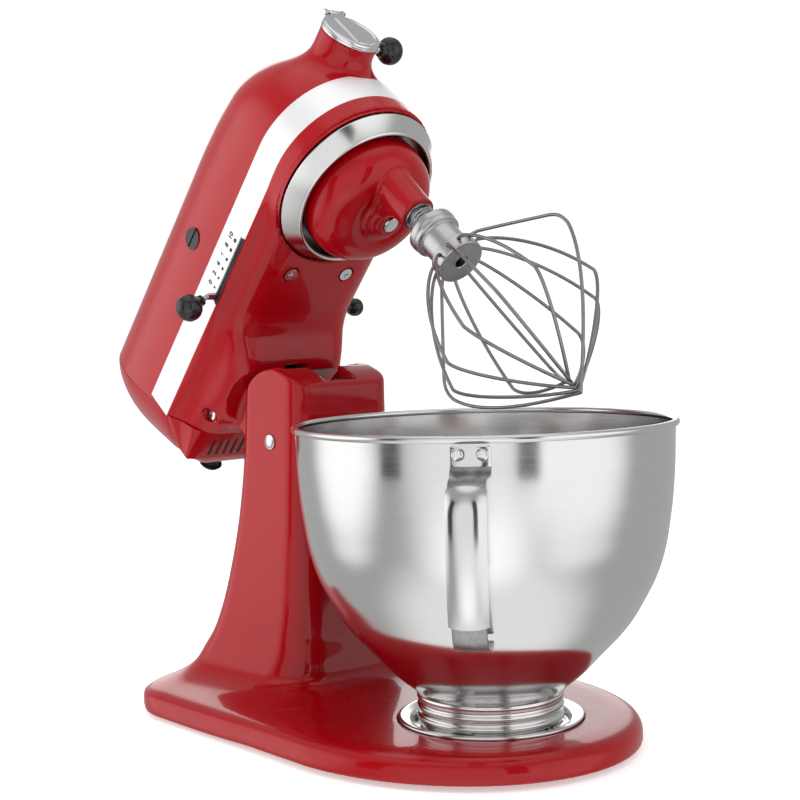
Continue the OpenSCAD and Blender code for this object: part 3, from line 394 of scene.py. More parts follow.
def sweep(path, sect, y_axis, closed=False):
    """Sweeps a closed 2D section (across, outward) along a path; across is y_axis."""
    path = np.asarray(path, float); y = np.asarray(y_axis, float)
    n = len(path); V = []
    for i in range(n):
        t = path[min(i + 1, n - 1)] - path[max(i - 1, 0)]
        t /= np.linalg.norm(t)
        nr = np.cross(y, t)
        for (a, b) in (sect(i) if callable(sect) else sect):
            V.append(path[i] + y * a + nr * b)
    m = len(V) // n
    F = [(i * m + j, i * m + (j + 1) % m, (i + 1) * m + (j + 1) % m, (i + 1) * m + j) for i in range(n - 1) for j in range(m)]
    F.append(list(range(m))[::-1]); F.append([(n - 1) * m + j for j in range(m)])
    return V, F


def catmull(P, n):
    P = [np.array(p, float) for p in P]
    out = []
    for i in range(len(P) - 1):
        p0 = P[max(i - 1, 0)]; p1 = P[i]; p2 = P[i + 1]; p3 = P[min(i + 2, len(P) - 1)]
        for k in range(n):
            t = k / n
            out.append(0.5 * (2 * p1 + (p2 - p0) * t + (2 * p0 - 5 * p1 + 4 * p2 - p3) * t * t + (3 * p1 - p0 - 3 * p2 + p3) * t ** 3))
    out.append(P[-1])
    return out


def bez(a, b, c, d, t):
    a, b, c, d = (np.array(q, float) for q in (a, b, c, d))
    return (1 - t) ** 3 * a + 3 * (1 - t) ** 2 * t * b + 3 * (1 - t) * t * t * c + t ** 3 * d


# ---------------------------------------------------------------- stand
PED = np.array([[14, -231, -84, 96, 88, 40], [16, -229, -92, 90, 80, 38], [20, -227, -106, 78, 66, 34],
    [28, -220, -116, 64, 52, 26], [36, -216.5, -117.2, 58, 48.5, 23], [50, -209, -120, 52, 44, 20],
    [80, -199, -120.5, 46, 41.5, 17], [132, -187, -120.5, 41, 40.5, 14], [171, -181.8, -120, 39.5, 39.5, 13],
    [219, -178.8, -119.5, 38.5, 38.5, 12]], float)


def f_stand(x, y, z):
    ay = np.abs(y)
    # base plate
    px = x + 42.2
    k0 = np.sqrt((px / 126.9) ** 2 + (y / 105.8) ** 2); k1 = np.sqrt((px / 126.9 ** 2) ** 2 + (y / 105.8 ** 2) ** 2)
    df = k0 * (k0 - 1) / np.maximum(k1, 1e-9)
    w = 105.8 + (100 - 105.8) * np.clip(-px / 148.8, 0, 1)
    side = ay - w
    corner = np.where(ay > 57, np.hypot(x + 191, ay - 57) - 43, -234 - x)
    d2 = np.where(px > 0, df, np.where(x > -191, np.maximum(side, -234 - x), corner))
    zt = pchip([0, 4, 10, 20, 60], [15.2, 16.3, 17.4, 18.0, 18.0], -d2)
    fb = smax(d2, z - zt, 7.0)
    fb = smax(fb, 3 - z, 2.5)
    fb = smax(fb, -np.maximum(np.hypot(x, y) - 53.7, 12 - z), 0.9)
    # pedestal
    c = [pchip(PED[:, 0], PED[:, k], z) for k in range(1, 6)]
    xr, xf, wr, wf, rr = c
    xc = (xr + xf) / 2; L = (xf - xr) / 2
    wx = wr + (wf - wr) * np.clip((x - xr) / (xf - xr), 0, 1)
    qx = np.abs(x - xc) - (L - rr); qy = ay - (wx - rr)
    fp = np.hypot(np.maximum(qx, 0), np.maximum(qy, 0)) + np.minimum(np.maximum(qx, qy), 0) - rr
    fp = np.maximum(fp, 12.5 - z)
    zl = pchip([-150, -147, -141, -135, -127, -121, -117], [217.2, 217.3, 216.6, 214.5, 210.8, 207.1, 204.4], x)
    ft = np.where(x > -147.4, z - zl, np.where(z > 185.5, np.hypot(x + 147.4, z - 185.5) - 31.5, -(x + 178.9) - (185.5 - z) * 0.35))
    fp = smax(fp, ft, 2.6)
    sl = pchip([14, 17, 24, 60, 220], [0.30, 0.45, 0.8, 1.0, 1.0], z)
    fp = fp * sl
    F = smin(fb, fp, 7.0)
    # yoke, open to the rear and above
    xfr = pchip([134, 147, 152, 186, 240], [-152.5, -151, -150, -143, -143], z)
    zfl = pchip([-240, -172, -150], [134, 147, 152], x)
    y2 = smax(x - xfr, zfl - z, 8.0)
    y2 = smin(y2, np.hypot(x - PX, z - PZ) - 23.4, 3.0)
    fy = smax(ay - 29.6, y2, 1.5)
    F = smax(F, -fy, 2.6)
    slot = smax(smax(np.abs(x + 134) - 10, ay - 12.5, 1.5), 197 - z, 1.0)
    F = smax(F, -slot, 1.2)
    F = smax(F, -np.maximum(np.hypot(x - PX, z - PZ) - 4.9, 38.6 - ay), 0.4)
    return F


hs = 1.5
stand = nets(f_stand, (-238, -109, 1), (88, 109, 220), hs)
mk("Stand_casting", stand, "red_enamel", "stand", rep=("base_casting", "pedestal"))

# clamp plate
plate = [(9, 12.0), (45, 12.0), (47.5, 15.2), (53.4, 17.4), (53.4, 19.5), (51.2, 19.9), (46.2, 17.9), (44.8, 13.6), (9, 13.6)]
pl, plg = revolve(rnd(plate, 0.7, 4, True), 192)
mk("Clamp_plate", pl, "polished_steel", "stand", None, 38, ("bowl_clamp_plate",), plg)
for q, a0 in enumerate((11, 101, 191, 281)):
    V = []; F = []
    n = 12
    sec = [(41.3, 16.1), (45.9, 16.1), (46.4, 17.3), (45.9, 17.6), (41.5, 17.6)]
    for k in range(n + 1):
        a = math.radians(a0 + 18 * k / n)
        V += [(r * math.cos(a), r * math.sin(a), z) for r, z in sec]
    m = len(sec)
    F = [(i * m + j, i * m + (j + 1) % m, (i + 1) * m + (j + 1) % m, (i + 1) * m + j) for i in range(n) for j in range(m)]
    F += [list(range(m)), [n * m + j for j in range(m)]]
    mk("Clamp_lug_%d" % q, (V, F), "polished_steel", "stand")

# ---------------------------------------------------------------- bowl
BO = [(0, 16.5), (12, 16.6), (24, 17), (33, 19.5), (37.3, 24), (38.6, 29), (41, 33.2), (45, 37), (54.5, 45), (64, 55), (75.5, 67), (82.6, 76), (88, 85),
      (93.9, 96), (98, 106), (101.3, 118), (103.5, 131), (105, 142), (106, 153), (106.7, 165), (107, 176), (107.3, 184.2)]
co = catmull(BO, 7)


def offs(c, d):
    c = [np.array(p) for p in c]; o = []
    for i, p in enumerate(c):
        t = c[min(i + 1, len(c) - 1)] - c[max(i - 1, 0)]; t = t / np.linalg.norm(t)
        o.append(p + d * np.array([t[1], -t[0]]) if i else p + np.array([0, -d]))
    return o


inner = offs(co, -1.0)
bead = []
for k in range(0, 17):
    a = math.radians(-95 + 330 * k / 16)
    bead.append((107.5 + 2.0 * math.cos(a), 185.9 + 2.0 * math.sin(a)))
prof = [tuple(p) for p in co] + bead + [tuple(p) for p in inner[::-1]]
prof = [(max(r, 0.0), z) for r, z in prof]
turned("Bowl_shell", prof, "polished_steel", "bowl", None, ("bowl_shell",), 320, False)
ft = [(39.0, 13.6), (40.6, 13.6), (40.75, 17.6), (42.05, 18.6), (42.05, 20.9), (40.75, 21.9), (40.7, 24.2), (41.95, 25.0), (41.95, 27.0), (40.75, 27.8),
      (40.8, 29.6), (41.9, 30.4), (42.1, 32.2), (41.6, 33.0), (42.6, 34.4), (44.0, 36.0), (43.3, 35.8), (41.0, 33.5), (39.6, 30.6), (39.0, 29.4)]
turned("Bowl_foot_ring", rnd(ft, 0.5, 3, True), "polished_steel", "bowl", None, ("bowl_foot",), 224)
for q, a0 in enumerate((20, 110, 200, 290)):
    V = []; n = 8
    sec = [(39.4, 13.7), (43.2, 13.7), (43.7, 14.2), (43.7, 15.3), (43.2, 15.7), (39.4, 15.7)]
    for k in range(n + 1):
        a = math.radians(a0 - 9 + 18 * k / n)
        V += [(r * math.cos(a), r * math.sin(a), z) for r, z in sec]
    m = len(sec)
    F = [(i * m + j, i * m + (j + 1) % m, (i + 1) * m + (j + 1) % m, (i + 1) * m + j) for i in range(n) for j in range(m)]
    F += [list(range(m)), [n * m + j for j in range(m)]]
    mk("Bowl_foot_lug_%d" % q, (V, F), "polished_steel", "bowl")

# handle: strap with a rolled grip over it
HZ = rot("Z", -49.4)
HP = [(107.75, 183.2), (107.75, 180), (107.75, 176), (107.9, 172.6), (109.8, 170.4), (114, 169.3), (122, 169.3), (130, 169.0), (137.4, 166.4), (142.6, 160.5), (145.2, 151),
      (145, 128), (143, 110), (139.6, 97), (134, 88.5), (124, 83), (108, 79.5), (94, 77.9), (88.6, 79.2)]
hp = catmull(HP, 8)
path = [(r, 0, z) for r, z in hp]


def strap_sec(i):
    z = hp[i][1]; r = hp[i][0]
    w = 10.5 if z > 165 and r < 112 else 9.4 + 1.1 * max(0, min(1, (120 - r) / 8)) if z > 165 else 8.6
    if z > 181.6:
        w = 10.5 - min(1.6, (z - 181.6) ** 2 * 0.62)
    t = 1.7
    s = 0.5
    return [(-w, -0.0 + s), (-w + s, 0.0), (w - s, 0.0), (w, s), (w, t - s), (w - s, t), (-w + s, t), (-w, t - s)]


ib = next(i for i, q in enumerate(hp) if q[1] < 172.8)
ie = next(i for i, q in enumerate(hp) if q[0] > 140)
# the bend and the lower end of the one steel strap take the darker gear_steel: painted shade
for nm, a0, a1, sl_ in (("Bowl_handle_strap", 0, ib + 1, "polished_steel"), ("Bowl_handle_bend_painted_shade", ib, ie + 1, "gear_steel"), ("Bowl_handle_lower_painted_shade", ie, len(hp), "gear_steel")):
    mk(nm, sweep(path[a0:a1], lambda i, o=a0: strap_sec(i + o), (0, 1, 0)), sl_, "bowl", HZ, 50, ("bowl_handle",) if a0 == 0 else ())
gi = [i for i, p in enumerate(hp) if 97.5 <= p[1] <= 165 and p[0] > 137]
gp = [hp[i] for i in gi]
us = np.linspace(-1, 1, 25)
outer = [(10.1 * u, -(3.3 * (1 - u * u) + 0.25)) for u in us]
innr = [(9.5 * u, -(3.3 * (1 - u * u) - 0.55) if abs(u) < 0.9 else 0.05) for u in us[::-1]]
mk("Bowl_handle_grip", sweep([(r, 0, z) for r, z in gp], outer + innr, (0, 1, 0)), "polished_steel", "bowl", HZ, 40)
for s in (-1, 1):
    rv, g = revolve([(0, 0), (3.0, 0), (3.1, 0.25), (2.9, 0.7), (2.3, 1.0), (1.2, 1.15), (0, 1.18)], 48, False)
    mk("Handle_rivet_%d" % (s + 1), rv, "polished_steel", "bowl", HZ @ shift(109.5, 8 * s * 0.8, 178.5) @ rot("Y", 90), 40, ("bowl_rivets",) if s < 0 else (), g)

# ---------------------------------------------------------------- head castings
TX = [-260, -50, -25, -5, 18, 35, 45, 52, 57]
TV = [87, 87, 85.5, 82.2, 75.4, 69.6, 65.6, 62.4, 60]


def f_upper(x, y, z):
    u = np.sqrt(y * y + np.maximum(x - 2, 0) ** 2) / 54
    zz = np.maximum(z - 265, 0) / pchip(TX, TV, x)
    g = (u ** 2.67 + zz ** 2.67) ** (1 / 2.67)
    d = (g - 1) * 56
    dn = np.hypot(y, z - 298)
    rn = 18.6 + 1.2 * np.clip((52 - x) / 16, 0, 1) ** 2
    neck = smax(dn - rn, np.maximum(x - 69, 30 - x), 1.2)
    return smin(d, neck, 11.0)


def seam(g=0.0):
    n = Vector((1.0, 0, 0.235)).normalized()
    return Vector((-196 + g, 0, 262)), n


hh = 1.6
up = nets(f_upper, (-224, -60, 255), (72, 60, 356), hh)
so, sn = seam(0.35)
up = cut(up, [((0, 0, 262.0), (0, 0, -1)), (tuple(so), tuple(-sn))])
mk("Upper_housing", up, "red_enamel", "head", HM, 30, ("upper_housing",))

KX = [-260, -205, -190, -172, -150, -137, -124, -117, -110, -101, -94, 60]
KZ = [226.0, 225.0, 222.0, 216.9, 210.6, 211.6, 217.4, 222.6, 228.6, 232.6, 233.8, 233.8]
LT = [0, 0.13, 0.26, 0.42, 0.72, 0.93, 1.0, 1.1]
LW = [54, 52.3, 49.7, 47.5, 44.0, 38.5, 35.0, 28.0]


def f_low(x, y, z):
    u = np.sqrt(y * y + np.maximum(x - 2, 0) ** 2)
    zb = pchip(KX, KZ, x)
    t = (251 - z) / (251 - zb)
    w = pchip(LT, LW, t)
    w = np.where(t > 0, w, 54.0)
    k = np.clip((x + 42) / 34, 0, 1); k = k * k * (3 - 2 * k)
    w = w + (54.0 - w) * k * np.clip((z - 236) / 3, 0, 1)
    d = smax(u - w, zb - z, 5.0)
    d = smax(d, 47.5 - np.hypot(x - PX, z - PZ), 1.0)
    # drip ring seat and the space for the planetary
    r = np.hypot(x, y)
    body = smax(r - 54.2, np.abs(z - 244.4) - 6.4, 0.6)
    d = smin(d, body, 1.5)
    lug = smax(np.hypot(x - PX, z - PZ) - 20, np.abs(y) - 28.6, 2.0)
    blk = smax(smax(np.abs(x + 159.5) - 13.5, np.abs(y) - 28.6, 2.0), np.abs(z - 206) - 24, 2.0)
    d = smin(d, smin(lug, blk, 6.0), 7.0)
    rec_ = np.maximum(r - 49.4, z - 243)
    d = smax(d, -rec_, 0.8)
    d = smax(d, -np.maximum(r - 55.0, z - 239.6), 0.3)
    d = smax(d, -np.maximum(r - 52.4, z - 242.0), 0.3)
    # screw pockets on the chin
    for sy in (-22.5, 22.5):
        d = smax(d, -np.maximum(np.hypot(x + 65, y - sy) - 5.3, z - 236.0), 0.6)
    ay = np.abs(y)
    d = smax(d, -np.maximum(np.hypot(x + 173, z - 226.5) - 4.7, 39.3 - ay), 0.5)
    # way of the lock bolt
    d = smax(d, -smax(np.maximum(np.abs(x + 132) - 6.7, ay - 9.3), z - 246, 0.6), 0.8)
    # slots behind the band
    d = smax(d, -np.maximum(np.maximum(np.abs(x + 76.2) - 25.2, np.abs(z - 254) - 1.7), 40 + y), 0.4)
    d = smax(d, -np.maximum(np.maximum(np.abs(x + 104) - 7.5, np.abs(z - 252) - 1.4), 40 - y), 0.4)
    return d


low = nets(f_low, (-214, -58, 149), (60, 58, 266), 1.35)
low = cut(low, [((0, 0, 261.7), (0, 0, 1)), (tuple(so), tuple(-sn))])
mk("Lower_gearcase", low, "red_enamel", "head", HM, 30, ("lower_gearcase",))
turned("Gearcase_lip", rnd([(52.5, 241.8), (53.7, 238.4), (54.45, 237.4), (54.45, 250.9), (52.5, 250.9)], 0.3, 3, True), "red_enamel", "head", HM, (), 256)


# rear end cover
def cover_sec(n=96):
    P = []
    for i in range(n + 1):
        a = math.pi * i / n
        c, s = math.cos(a), math.sin(a)
        P.append((54 * math.copysign(abs(c) ** 0.749, c), 265 + 87 * abs(s) ** 0.749))
    Lw = [(-54, 251), (-52.3, 247.5), (-50, 244), (-48, 238), (-46, 231), (-41, 225.6), (-34, 224.7), (-20, 224.6)]
    Lc = catmull(Lw, 5)
    P += [(p[0], p[1]) for p in Lc]
    P += [(x, 224.6) for x in np.linspace(-17, 17, 12)]
    P += [(-p[0], p[1]) for p in Lc[::-1]]
    P += [(54, 254), (54, 258)]
    return P


sec = cover_sec()
V = []; F = []
ss = [0.03, 0.1, 0.2, 0.3, 0.4, 0.5, 0.58, 0.66, 0.73, 0.79, 0.84, 0.88, 0.915, 0.94, 0.96, 0.975, 0.987, 0.995, 1.0]
m = len(sec)
for s in ss:
    for (y0, z0) in sec:
        z = 290 + (z0 - 290) * s if z0 >= 290 else 290 - (290 - z0) * (1 - (1 - s) ** 2.6)
        V.append((-196 - (z - 262) * 0.235 - 45.9 * max(0, 1 - s * s) ** 0.75, y0 * s, z))
for (y0, z0) in sec:
    V.append((-196 - (z0 - 262) * 0.235 - 0.0 + 0.05, y0 * 0.994, 265 + (z0 - 265) * 0.994))
ns = len(ss) + 1
F = [(i * m + j, i * m + (j + 1) % m, (i + 1) * m + (j + 1) % m, (i + 1) * m + j) for i in range(ns - 1) for j in range(m)]
F += [list(range(m)), [(ns - 1) * m + j for j in range(m)]]
mk("Rear_cover", (V, F), "red_enamel", "head", HM, 30, ("rear_end_cover",))
# boxed chin under the rear cover; its air slots are black slabs below it, painted shade for the openings
CH = [(-54, 256), (-54, 251), (-52.3, 247.5), (-50, 244), (-48, 238), (-46, 231), (-41.6, 225.9), (-37, 224.65), (-30, 224.6)]
ch = catmull(CH, 5) + [(x, 224.6) for x in np.linspace(-24, 24, 9)] + [(-a, b) for a, b in catmull(CH, 5)[::-1]]
V = []
for xx, ins in ((-212, 1.5), (-211.85, 0.8), (-211.3, 0.25), (-210.4, 0.02), (None, 0.02)):
    for (y0, z0) in ch:
        back = xx is not None
        yy = math.copysign(max(0, min(abs(y0), 45.5 if back else 53.9) - ins), y0)
        zz = 224.6 + (z0 - 224.6) * (0.42 if back else 0.93) + ins * (1 if z0 < 228 else 0)
        V.append((xx if xx is not None else -196 - (zz - 262) * 0.235 - 0.05, yy, zz))
m = len(ch)
F = [(i * m + j, i * m + (j + 1) % m, (i + 1) * m + (j + 1) % m, (i + 1) * m + j) for i in range(4) for j in range(m)]
F += [list(range(m)), [4 * m + j for j in range(m)]]
mk("Rear_cover_chin", (V, F), "red_enamel", "head", HM, 30)
for k in range(11):
    y0 = -30 + 6 * k
    pts = rnd([(-208.5, y0 - 1.1), (-195.5, y0 - 1.1), (-195.5, y0 + 1.1), (-208.5, y0 + 1.1)], 1.0, 4, True)
    n = len(pts)
    Vv = [(a, b, 226.2) for a, b in pts] + [(a, b, 224.5) for a, b in pts]
    Ff = [(j, (j + 1) % n, n + (j + 1) % n, n + j) for j in range(n)] + [list(range(n)), [n + j for j in range(n)]]
    mk("Vent_slot_%02d" % k, (Vv, Ff), "black_rubber", "head", HM, 40)


# trim band
def band_path():
    P = []
    for x in np.arange(-194.5, -103, 2.0):
        P.append((x, -1, None))
    xs = [-101.0] + list(np.arange(-99, -52, 2.0)) + [-51.5] + list(np.arange(-49.5, 2, 2.0)) + [2.0]
    P += [(x, -1, None) for x in xs]
    P += [(None, 0, a) for a in np.linspace(-90, 90, 97)[1:-1]]
    xs2 = [2.0] + list(np.arange(0, -95, -2.0)) + [-96.5] + list(np.arange(-98, -111, -2.0)) + [-111.5] + list(np.arange(-113, -194, -2.0)) + [-194.5]
    P += [(x, 1, None) for x in xs2]
    return P


bp = band_path()
z0b, z1b = 251.15, 273.05
zl = [z0b, z0b + 0.12, z0b + 0.45, 250.6 + 1.2, 252.6, 253.4, 255.4, 258, 262, 266, 270, z1b - 0.45, z1b - 0.12, z1b]
zl = sorted(set(zl))
ins = {z0b: 0.45, z0b + 0.12: 0.14, z0b + 0.45: 0.0, z1b - 0.45: 0.0, z1b - 0.12: 0.14, z1b: 0.45}


def bpt(p, z, d):
    R = 54.1 - ins.get(z, 0.0) - d
    x, s, a = p
    if a is None:
        return (x, s * R, z)
    return (2 + R * math.cos(math.radians(a)), R * math.sin(math.radians(a)), z)


V = []; F = []
nz = len(zl); npth = len(bp)
for d in (0.0, 1.25):
    for p in bp:
        for z in zl:
            V.append(bpt(p, z, d) if d == 0 else bpt(p, z, d - ins.get(z, 0.0)))


def hole(i, j):
    (xa, sa, aa), (xb, sb, ab) = bp[i], bp[i + 1]
    za, zb = zl[j], zl[j + 1]
    if aa is not None or ab is not None:
        return False
    xm = (xa + xb) / 2; zm = (za + zb) / 2
    if sa < 0 and -101 < xm < -51.5 and 252.6 < zm < 255.4:
        return True
    return sa > 0 and -111.5 < xm < -96.5 and 251.8 < zm < 253.4


H = {(i, j) for i in range(npth - 1) for j in range(nz - 1) if hole(i, j)}
off = npth * nz
for i in range(npth - 1):
    for j in range(nz - 1):
        a, b, c, d = i * nz + j, (i + 1) * nz + j, (i + 1) * nz + j + 1, i * nz + j + 1
        if (i, j) not in H:
            F.append((a, b, c, d)); F.append((off + a, off + d, off + c, off + b))
            for (di, dj, e0, e1) in ((-1, 0, a, d), (1, 0, b, c), (0, -1, a, b), (0, 1, d, c)):
                if (i + di, j + dj) in H:
                    F.append((e0, e1, off + e1, off + e0))
for i in range(npth - 1):
    for j in (0, nz - 1):
        a, b = i * nz + j, (i + 1) * nz + j
        F.append((a, b, off + b, off + a))
for i in (0, npth - 1):
    for j in range(nz - 1):
        a, b = i * nz + j, i * nz + j + 1
        F.append((a, b, off + b, off + a))
mk("Trim_band", (V, F), "band_metal", "head", HM, 50, ("trim_band",))

# black blocks behind and under the speed slot under the numbers: painted shade for the opening
for nm, lo, hi in (("Slot_painted_shade", (-102.3, -52.7, 251.2), (-50.5, -52.2, 256.4)), ("Slot_painted_shade_lower", (-101.6, -54.16, 250.95), (-51.0, -53.6, 252.75))):
    V = [(x_, y_, z_) for x_ in (lo[0], hi[0]) for y_ in (lo[1], hi[1]) for z_ in (lo[2], hi[2])]
    mk(nm, (V, [(0, 1, 3, 2), (4, 6, 7, 5), (0, 4, 5, 1), (2, 3, 7, 6), (0, 2, 6, 4), (1, 5, 7, 3)]), "black_rubber", "head", HM, 40)
# speed numbers beside the dots
ups = Matrix(((math.cos(TH), 0, -math.sin(TH)), (0, 1, 0), (math.sin(TH), 0, math.cos(TH))))
dg = bpy.context.evaluated_depsgraph_get()
for i, tx in enumerate(["0", "2", "4", "6", "8", "10"]):
    cu = bpy.data.curves.new("num", "FONT")
    cu.body = tx; cu.size = 4.9; cu.extrude = 0.05; cu.align_x = "CENTER"; cu.align_y = "CENTER"; cu.offset = 0.16
    to = bpy.data.objects.new("num", cu); scene.collection.objects.link(to)
    bpy.context.view_layer.update()
    dg = bpy.context.evaluated_depsgraph_get()
    me = bpy.data.meshes.new_from_object(to.evaluated_get(dg))
    vs = np.array([v.co[:] for v in me.vertices]); fs = [list(p.vertices) for p in me.polygons]
    bpy.data.objects.remove(to)
    X = -93.5 + 7.24 * i
    mk("Speed_number_%s" % tx, (np.stack([X + vs[:, 0], -54.2 - vs[:, 2], 264.0 + vs[:, 1]], 1), fs), "scale_ink", "head", HM, 40)

# ---------------------------------------------------------------- planetary and drip ring
dr = [(51.7, 241.2), (52.4, 241.2), (52.9, 237.6), (54.0, 236.0), (54.1, 235.2), (47.9, 226.6)]
dr += [(46.3 + 1.35 * math.cos(math.radians(a)), 226.3 + 1.35 * math.sin(math.radians(a))) for a in range(-20, -211, -19)]
dr += [(51.7, 235.0)]
turned("Drip_ring", rnd(dr[:5], 0.5, 4) + dr[5:], "polished_steel", "head", HM, ("drip_ring",), 256)


def f_plan(x, y, z):
    r = np.hypot(x, y)
    zt = pchip([0, 8, 14, 19, 25, 31, 35.5, 39.5, 42, 43.2, 46], [207.6, 207.4, 206.6, 205.6, 205.0, 206.4, 208.9, 213.2, 218.4, 223.5, 240], r * 1.05)
    d = smax(zt - z, r - 41.0, 3.0) * 0.8
    d = smax(d, z - 231.4, 1.0)
    b1 = smax(r - 15.5, 203.4 - z, 1.5); b1 = np.maximum(b1, z - 215)
    d = smin(d, b1, 2.2)
    b2 = smax(r - 12.2, 200.6 - z, 1.2); b2 = np.maximum(b2, z - 215)
    d = smin(d, b2, 1.0)
    b3 = smax(r - 9.4, 198.5 - z, 1.0); b3 = np.maximum(b3, z - 215)
    d = smin(d, b3, 0.9)
    # arm to the shaft boss
    c, s = math.cos(AZB), math.sin(AZB)
    lx = x * c + y * s; ly = -x * s + y * c
    arm = np.maximum(np.abs(ly) - 9.6, np.maximum(5.4 - lx, lx - 24))
    arm = smax(arm, 199.0 - 13.0 * np.clip((lx - 5.5) / 13.0, 0, 1) - z, 1.2); arm = np.maximum(arm, z - 214)
    d = smin(d, arm, 1.2)
    arm2 = np.maximum(np.abs(ly) - 12.6, np.maximum(-lx, lx - 24))
    arm2 = smax(arm2, 202.6 - z, 1.2); arm2 = np.maximum(arm2, z - 214)
    d = smin(d, arm2, 1.2)
    q = np.hypot(x - EX, y - EY)
    rb = pchip([178, 186, 195, 203, 213], [11.0, 11.2, 11.8, 12.5, 13.4], z)
    boss = smax(q - rb, 179.6 - z, 1.0); boss = np.maximum(boss, z - 218)
    d = smin(d, boss, 1.2)
    d = smax(d, -np.maximum(q - 6.5, z - 186), 0.4)
    d = smax(d, -np.maximum(r - 5.05, 0 * z + z - 200.4), 0.3)
    return d


pla = nets(f_plan, (-45, -45, 177), (45, 45, 233), 0.95)
mk("Planetary", pla, "red_enamel", "planetary", HM, 38, ("planetary",))
turned("Planetary_disc", [(0, 200.3), (4.95, 200.3), (4.95, 198.1), (4.6, 197.75), (0, 197.65)], "bright_chrome", "planetary", HM, ("planetary_pin",), 64, False)

# ---------------------------------------------------------------- whip
HB = HM @ shift(EX, EY, 0)
TIP, BR, WR, WAZ = 21.4, 50.5, 1.0, 5.3
n = 40


def balloon(i):
    zb = TIP + 2.1 + 2.1 * i; R = BR - 0.6 * i
    return ([(8, 139.5), (14, 139.5)] + [bez((15.2, 139.5), (22, 136), (R - 7, 112), (R, 74), k / n) for k in range(n + 1)]
            + [bez((R, 74), (R - 1.5, 62), (12, zb + 6.5), (0, zb), k / n) for k in range(1, n + 1)])


sq0 = [(14, 139.5), (16.5, 139), (19.5, 137.2), (22.5, 134.8), (38, 120.2), (52.5, 106.3)]
sq = ([(8, 139.5)] + [tuple(p) for p in catmull(sq0, 5)] + [bez((56.5, 102.5), (61.5, 97.7), (63.2, 94), (62.2, 87.5), k / 20) for k in range(21)]
      + [bez((62.2, 87.5), (53.6, 60), (8.6, TIP + 7.1), (0, TIP), k / 48) for k in range(1, 49)])


def loop(half, az, name, rep=()):
    half = [np.array(p, float) for p in half]
    full = half + [np.array((-p[0], p[1])) for p in half[-2::-1]]
    a = math.radians(az)
    P = [(p[0] * math.cos(a), p[0] * math.sin(a), p[1]) for p in full]
    nrm = (-math.sin(a), math.cos(a), 0)
    circ = [(WR * math.cos(2 * math.pi * k / 12), WR * math.sin(2 * math.pi * k / 12)) for k in range(12)]
    mk(name, sweep(P, circ, nrm), "whip_wire", "whip", HB, 60, rep)


loop(sq, WAZ, "Whip_wire_0", ("whip_wires",))
for i in range(5):
    loop(balloon(i), WAZ + 30 * (i + 1), "Whip_wire_%d" % (i + 1))


def f_hub(x, y, z):
    r = np.hypot(x, y)
    d = smax(r - 14.5, np.abs(z - 139) - 4.5, 0.9)
    d = smin(d, smax(r - 11.9, np.abs(z - 151) - 8.5, 0.4), 0.9)
    rc = 15 - 0.5 * np.clip((162.2 - z) / 2, 0, 1)
    d = smin(d, smax(r - rc, np.abs(z - 162) - 4, 0.9), 0.9)
    d = smax(d, -np.maximum(r - 6.5, 141.9 - z), 0.5)
    d = smax(d, -(r - 4.0), 0.5)
    d = smax(d, -np.maximum(np.maximum(np.abs(y) - 1.75, np.abs(x) - 10.2), np.maximum(150.4 - z, z - 163.8)), 0.3)
    a = math.radians(50); c, s = math.cos(a), math.sin(a)
    lx = x * c + y * s; ly = -x * s + y * c
    d = smax(d, -np.maximum(np.maximum(np.abs(ly) - 1.75, np.abs(lx) - 10.2), 150.4 - z), 0.3)
    # ring of wire grooves in the lower face
    for k in range(12):
        t = math.radians(WAZ + 30 * k)
        lx = x * math.cos(t) + y * math.sin(t); ly = -x * math.sin(t) + y * math.cos(t)
        d = smax(d, -np.maximum(np.hypot(ly, z - 139.5) - 1.15, 7.5 - lx), 0.35)
    return d


hub = nets(f_hub, (-16, -16, 133.5), (16, 16, 167.5), 0.55, 2)
gx = hub[0]
hg = np.stack([gx[:, 2] * 9.0, 1.6 * gx[:, 0] / 12, 1.6 * gx[:, 1] / 12], 1)
mk("Whip_hub", hub, "satin_aluminium", "whip", HB, 35, ("whip_hub",), hg)

# ---------------------------------------------------------------- attachment hub and knobs
AX = HM @ shift(0, 0, 298) @ rot("Y", 90)
col = [(15, 56.4), (16.45, 56.4), (16.45, 69.0), (19.2, 69.0), (19.2, 71.0), (15, 71.0)]
turned("Hub_collar", rnd(col, 0.6, 4, True), "bright_chrome", "head", AX, ("hub_collar",), 128)
cap = [(0, 71.1), (19.0, 71.1), (19.0, 71.6), (18.6, 72.5), (17.2, 72.95), (16.2, 72.8), (15.2, 72.2), (9, 72.15), (0, 72.15)]
capv, capg = revolve(rnd(cap[1:-1], 0.3, 3, False), 128, False)
cap2 = [(0, 71.1)] + rnd(cap[1:-1], 0.3, 3, False) + [(0, 72.15)]
turned("Hub_cap_disc", cap2, "bright_chrome", "hub_cap", AX, ("hub_cap",), 128, False)
FX = HM @ shift(72.1, 0, 319) @ rot("X", -90)
turned("Hub_cap_knuckle", rnd([(0.86, -4.9), (1.6, -4.9), (1.6, 4.9), (0.86, 4.9)], 0.2, 2, True), "bright_chrome", "hub_cap", FX, (), 48)
turned("Hub_collar_pin", [(0, -6.0), (0.8, -6.0), (0.8, 6.0), (0, 6.0)], "bright_chrome", "head", FX, (), 32, False)


def block(name, lo, hi, r, slot, body, M):
    pts = rnd([(lo[1], lo[2]), (hi[1], lo[2]), (hi[1], hi[2]), (lo[1], hi[2])], r, 3, True)
    n = len(pts)
    Vv = [(lo[0], a, b) for a, b in pts] + [(hi[0], a, b) for a, b in pts]
    Ff = [(j, (j + 1) % n, n + (j + 1) % n, n + j) for j in range(n)] + [list(range(n)), [n + j for j in range(n)]]
    mk(name, (Vv, Ff), slot, body, M, 40)


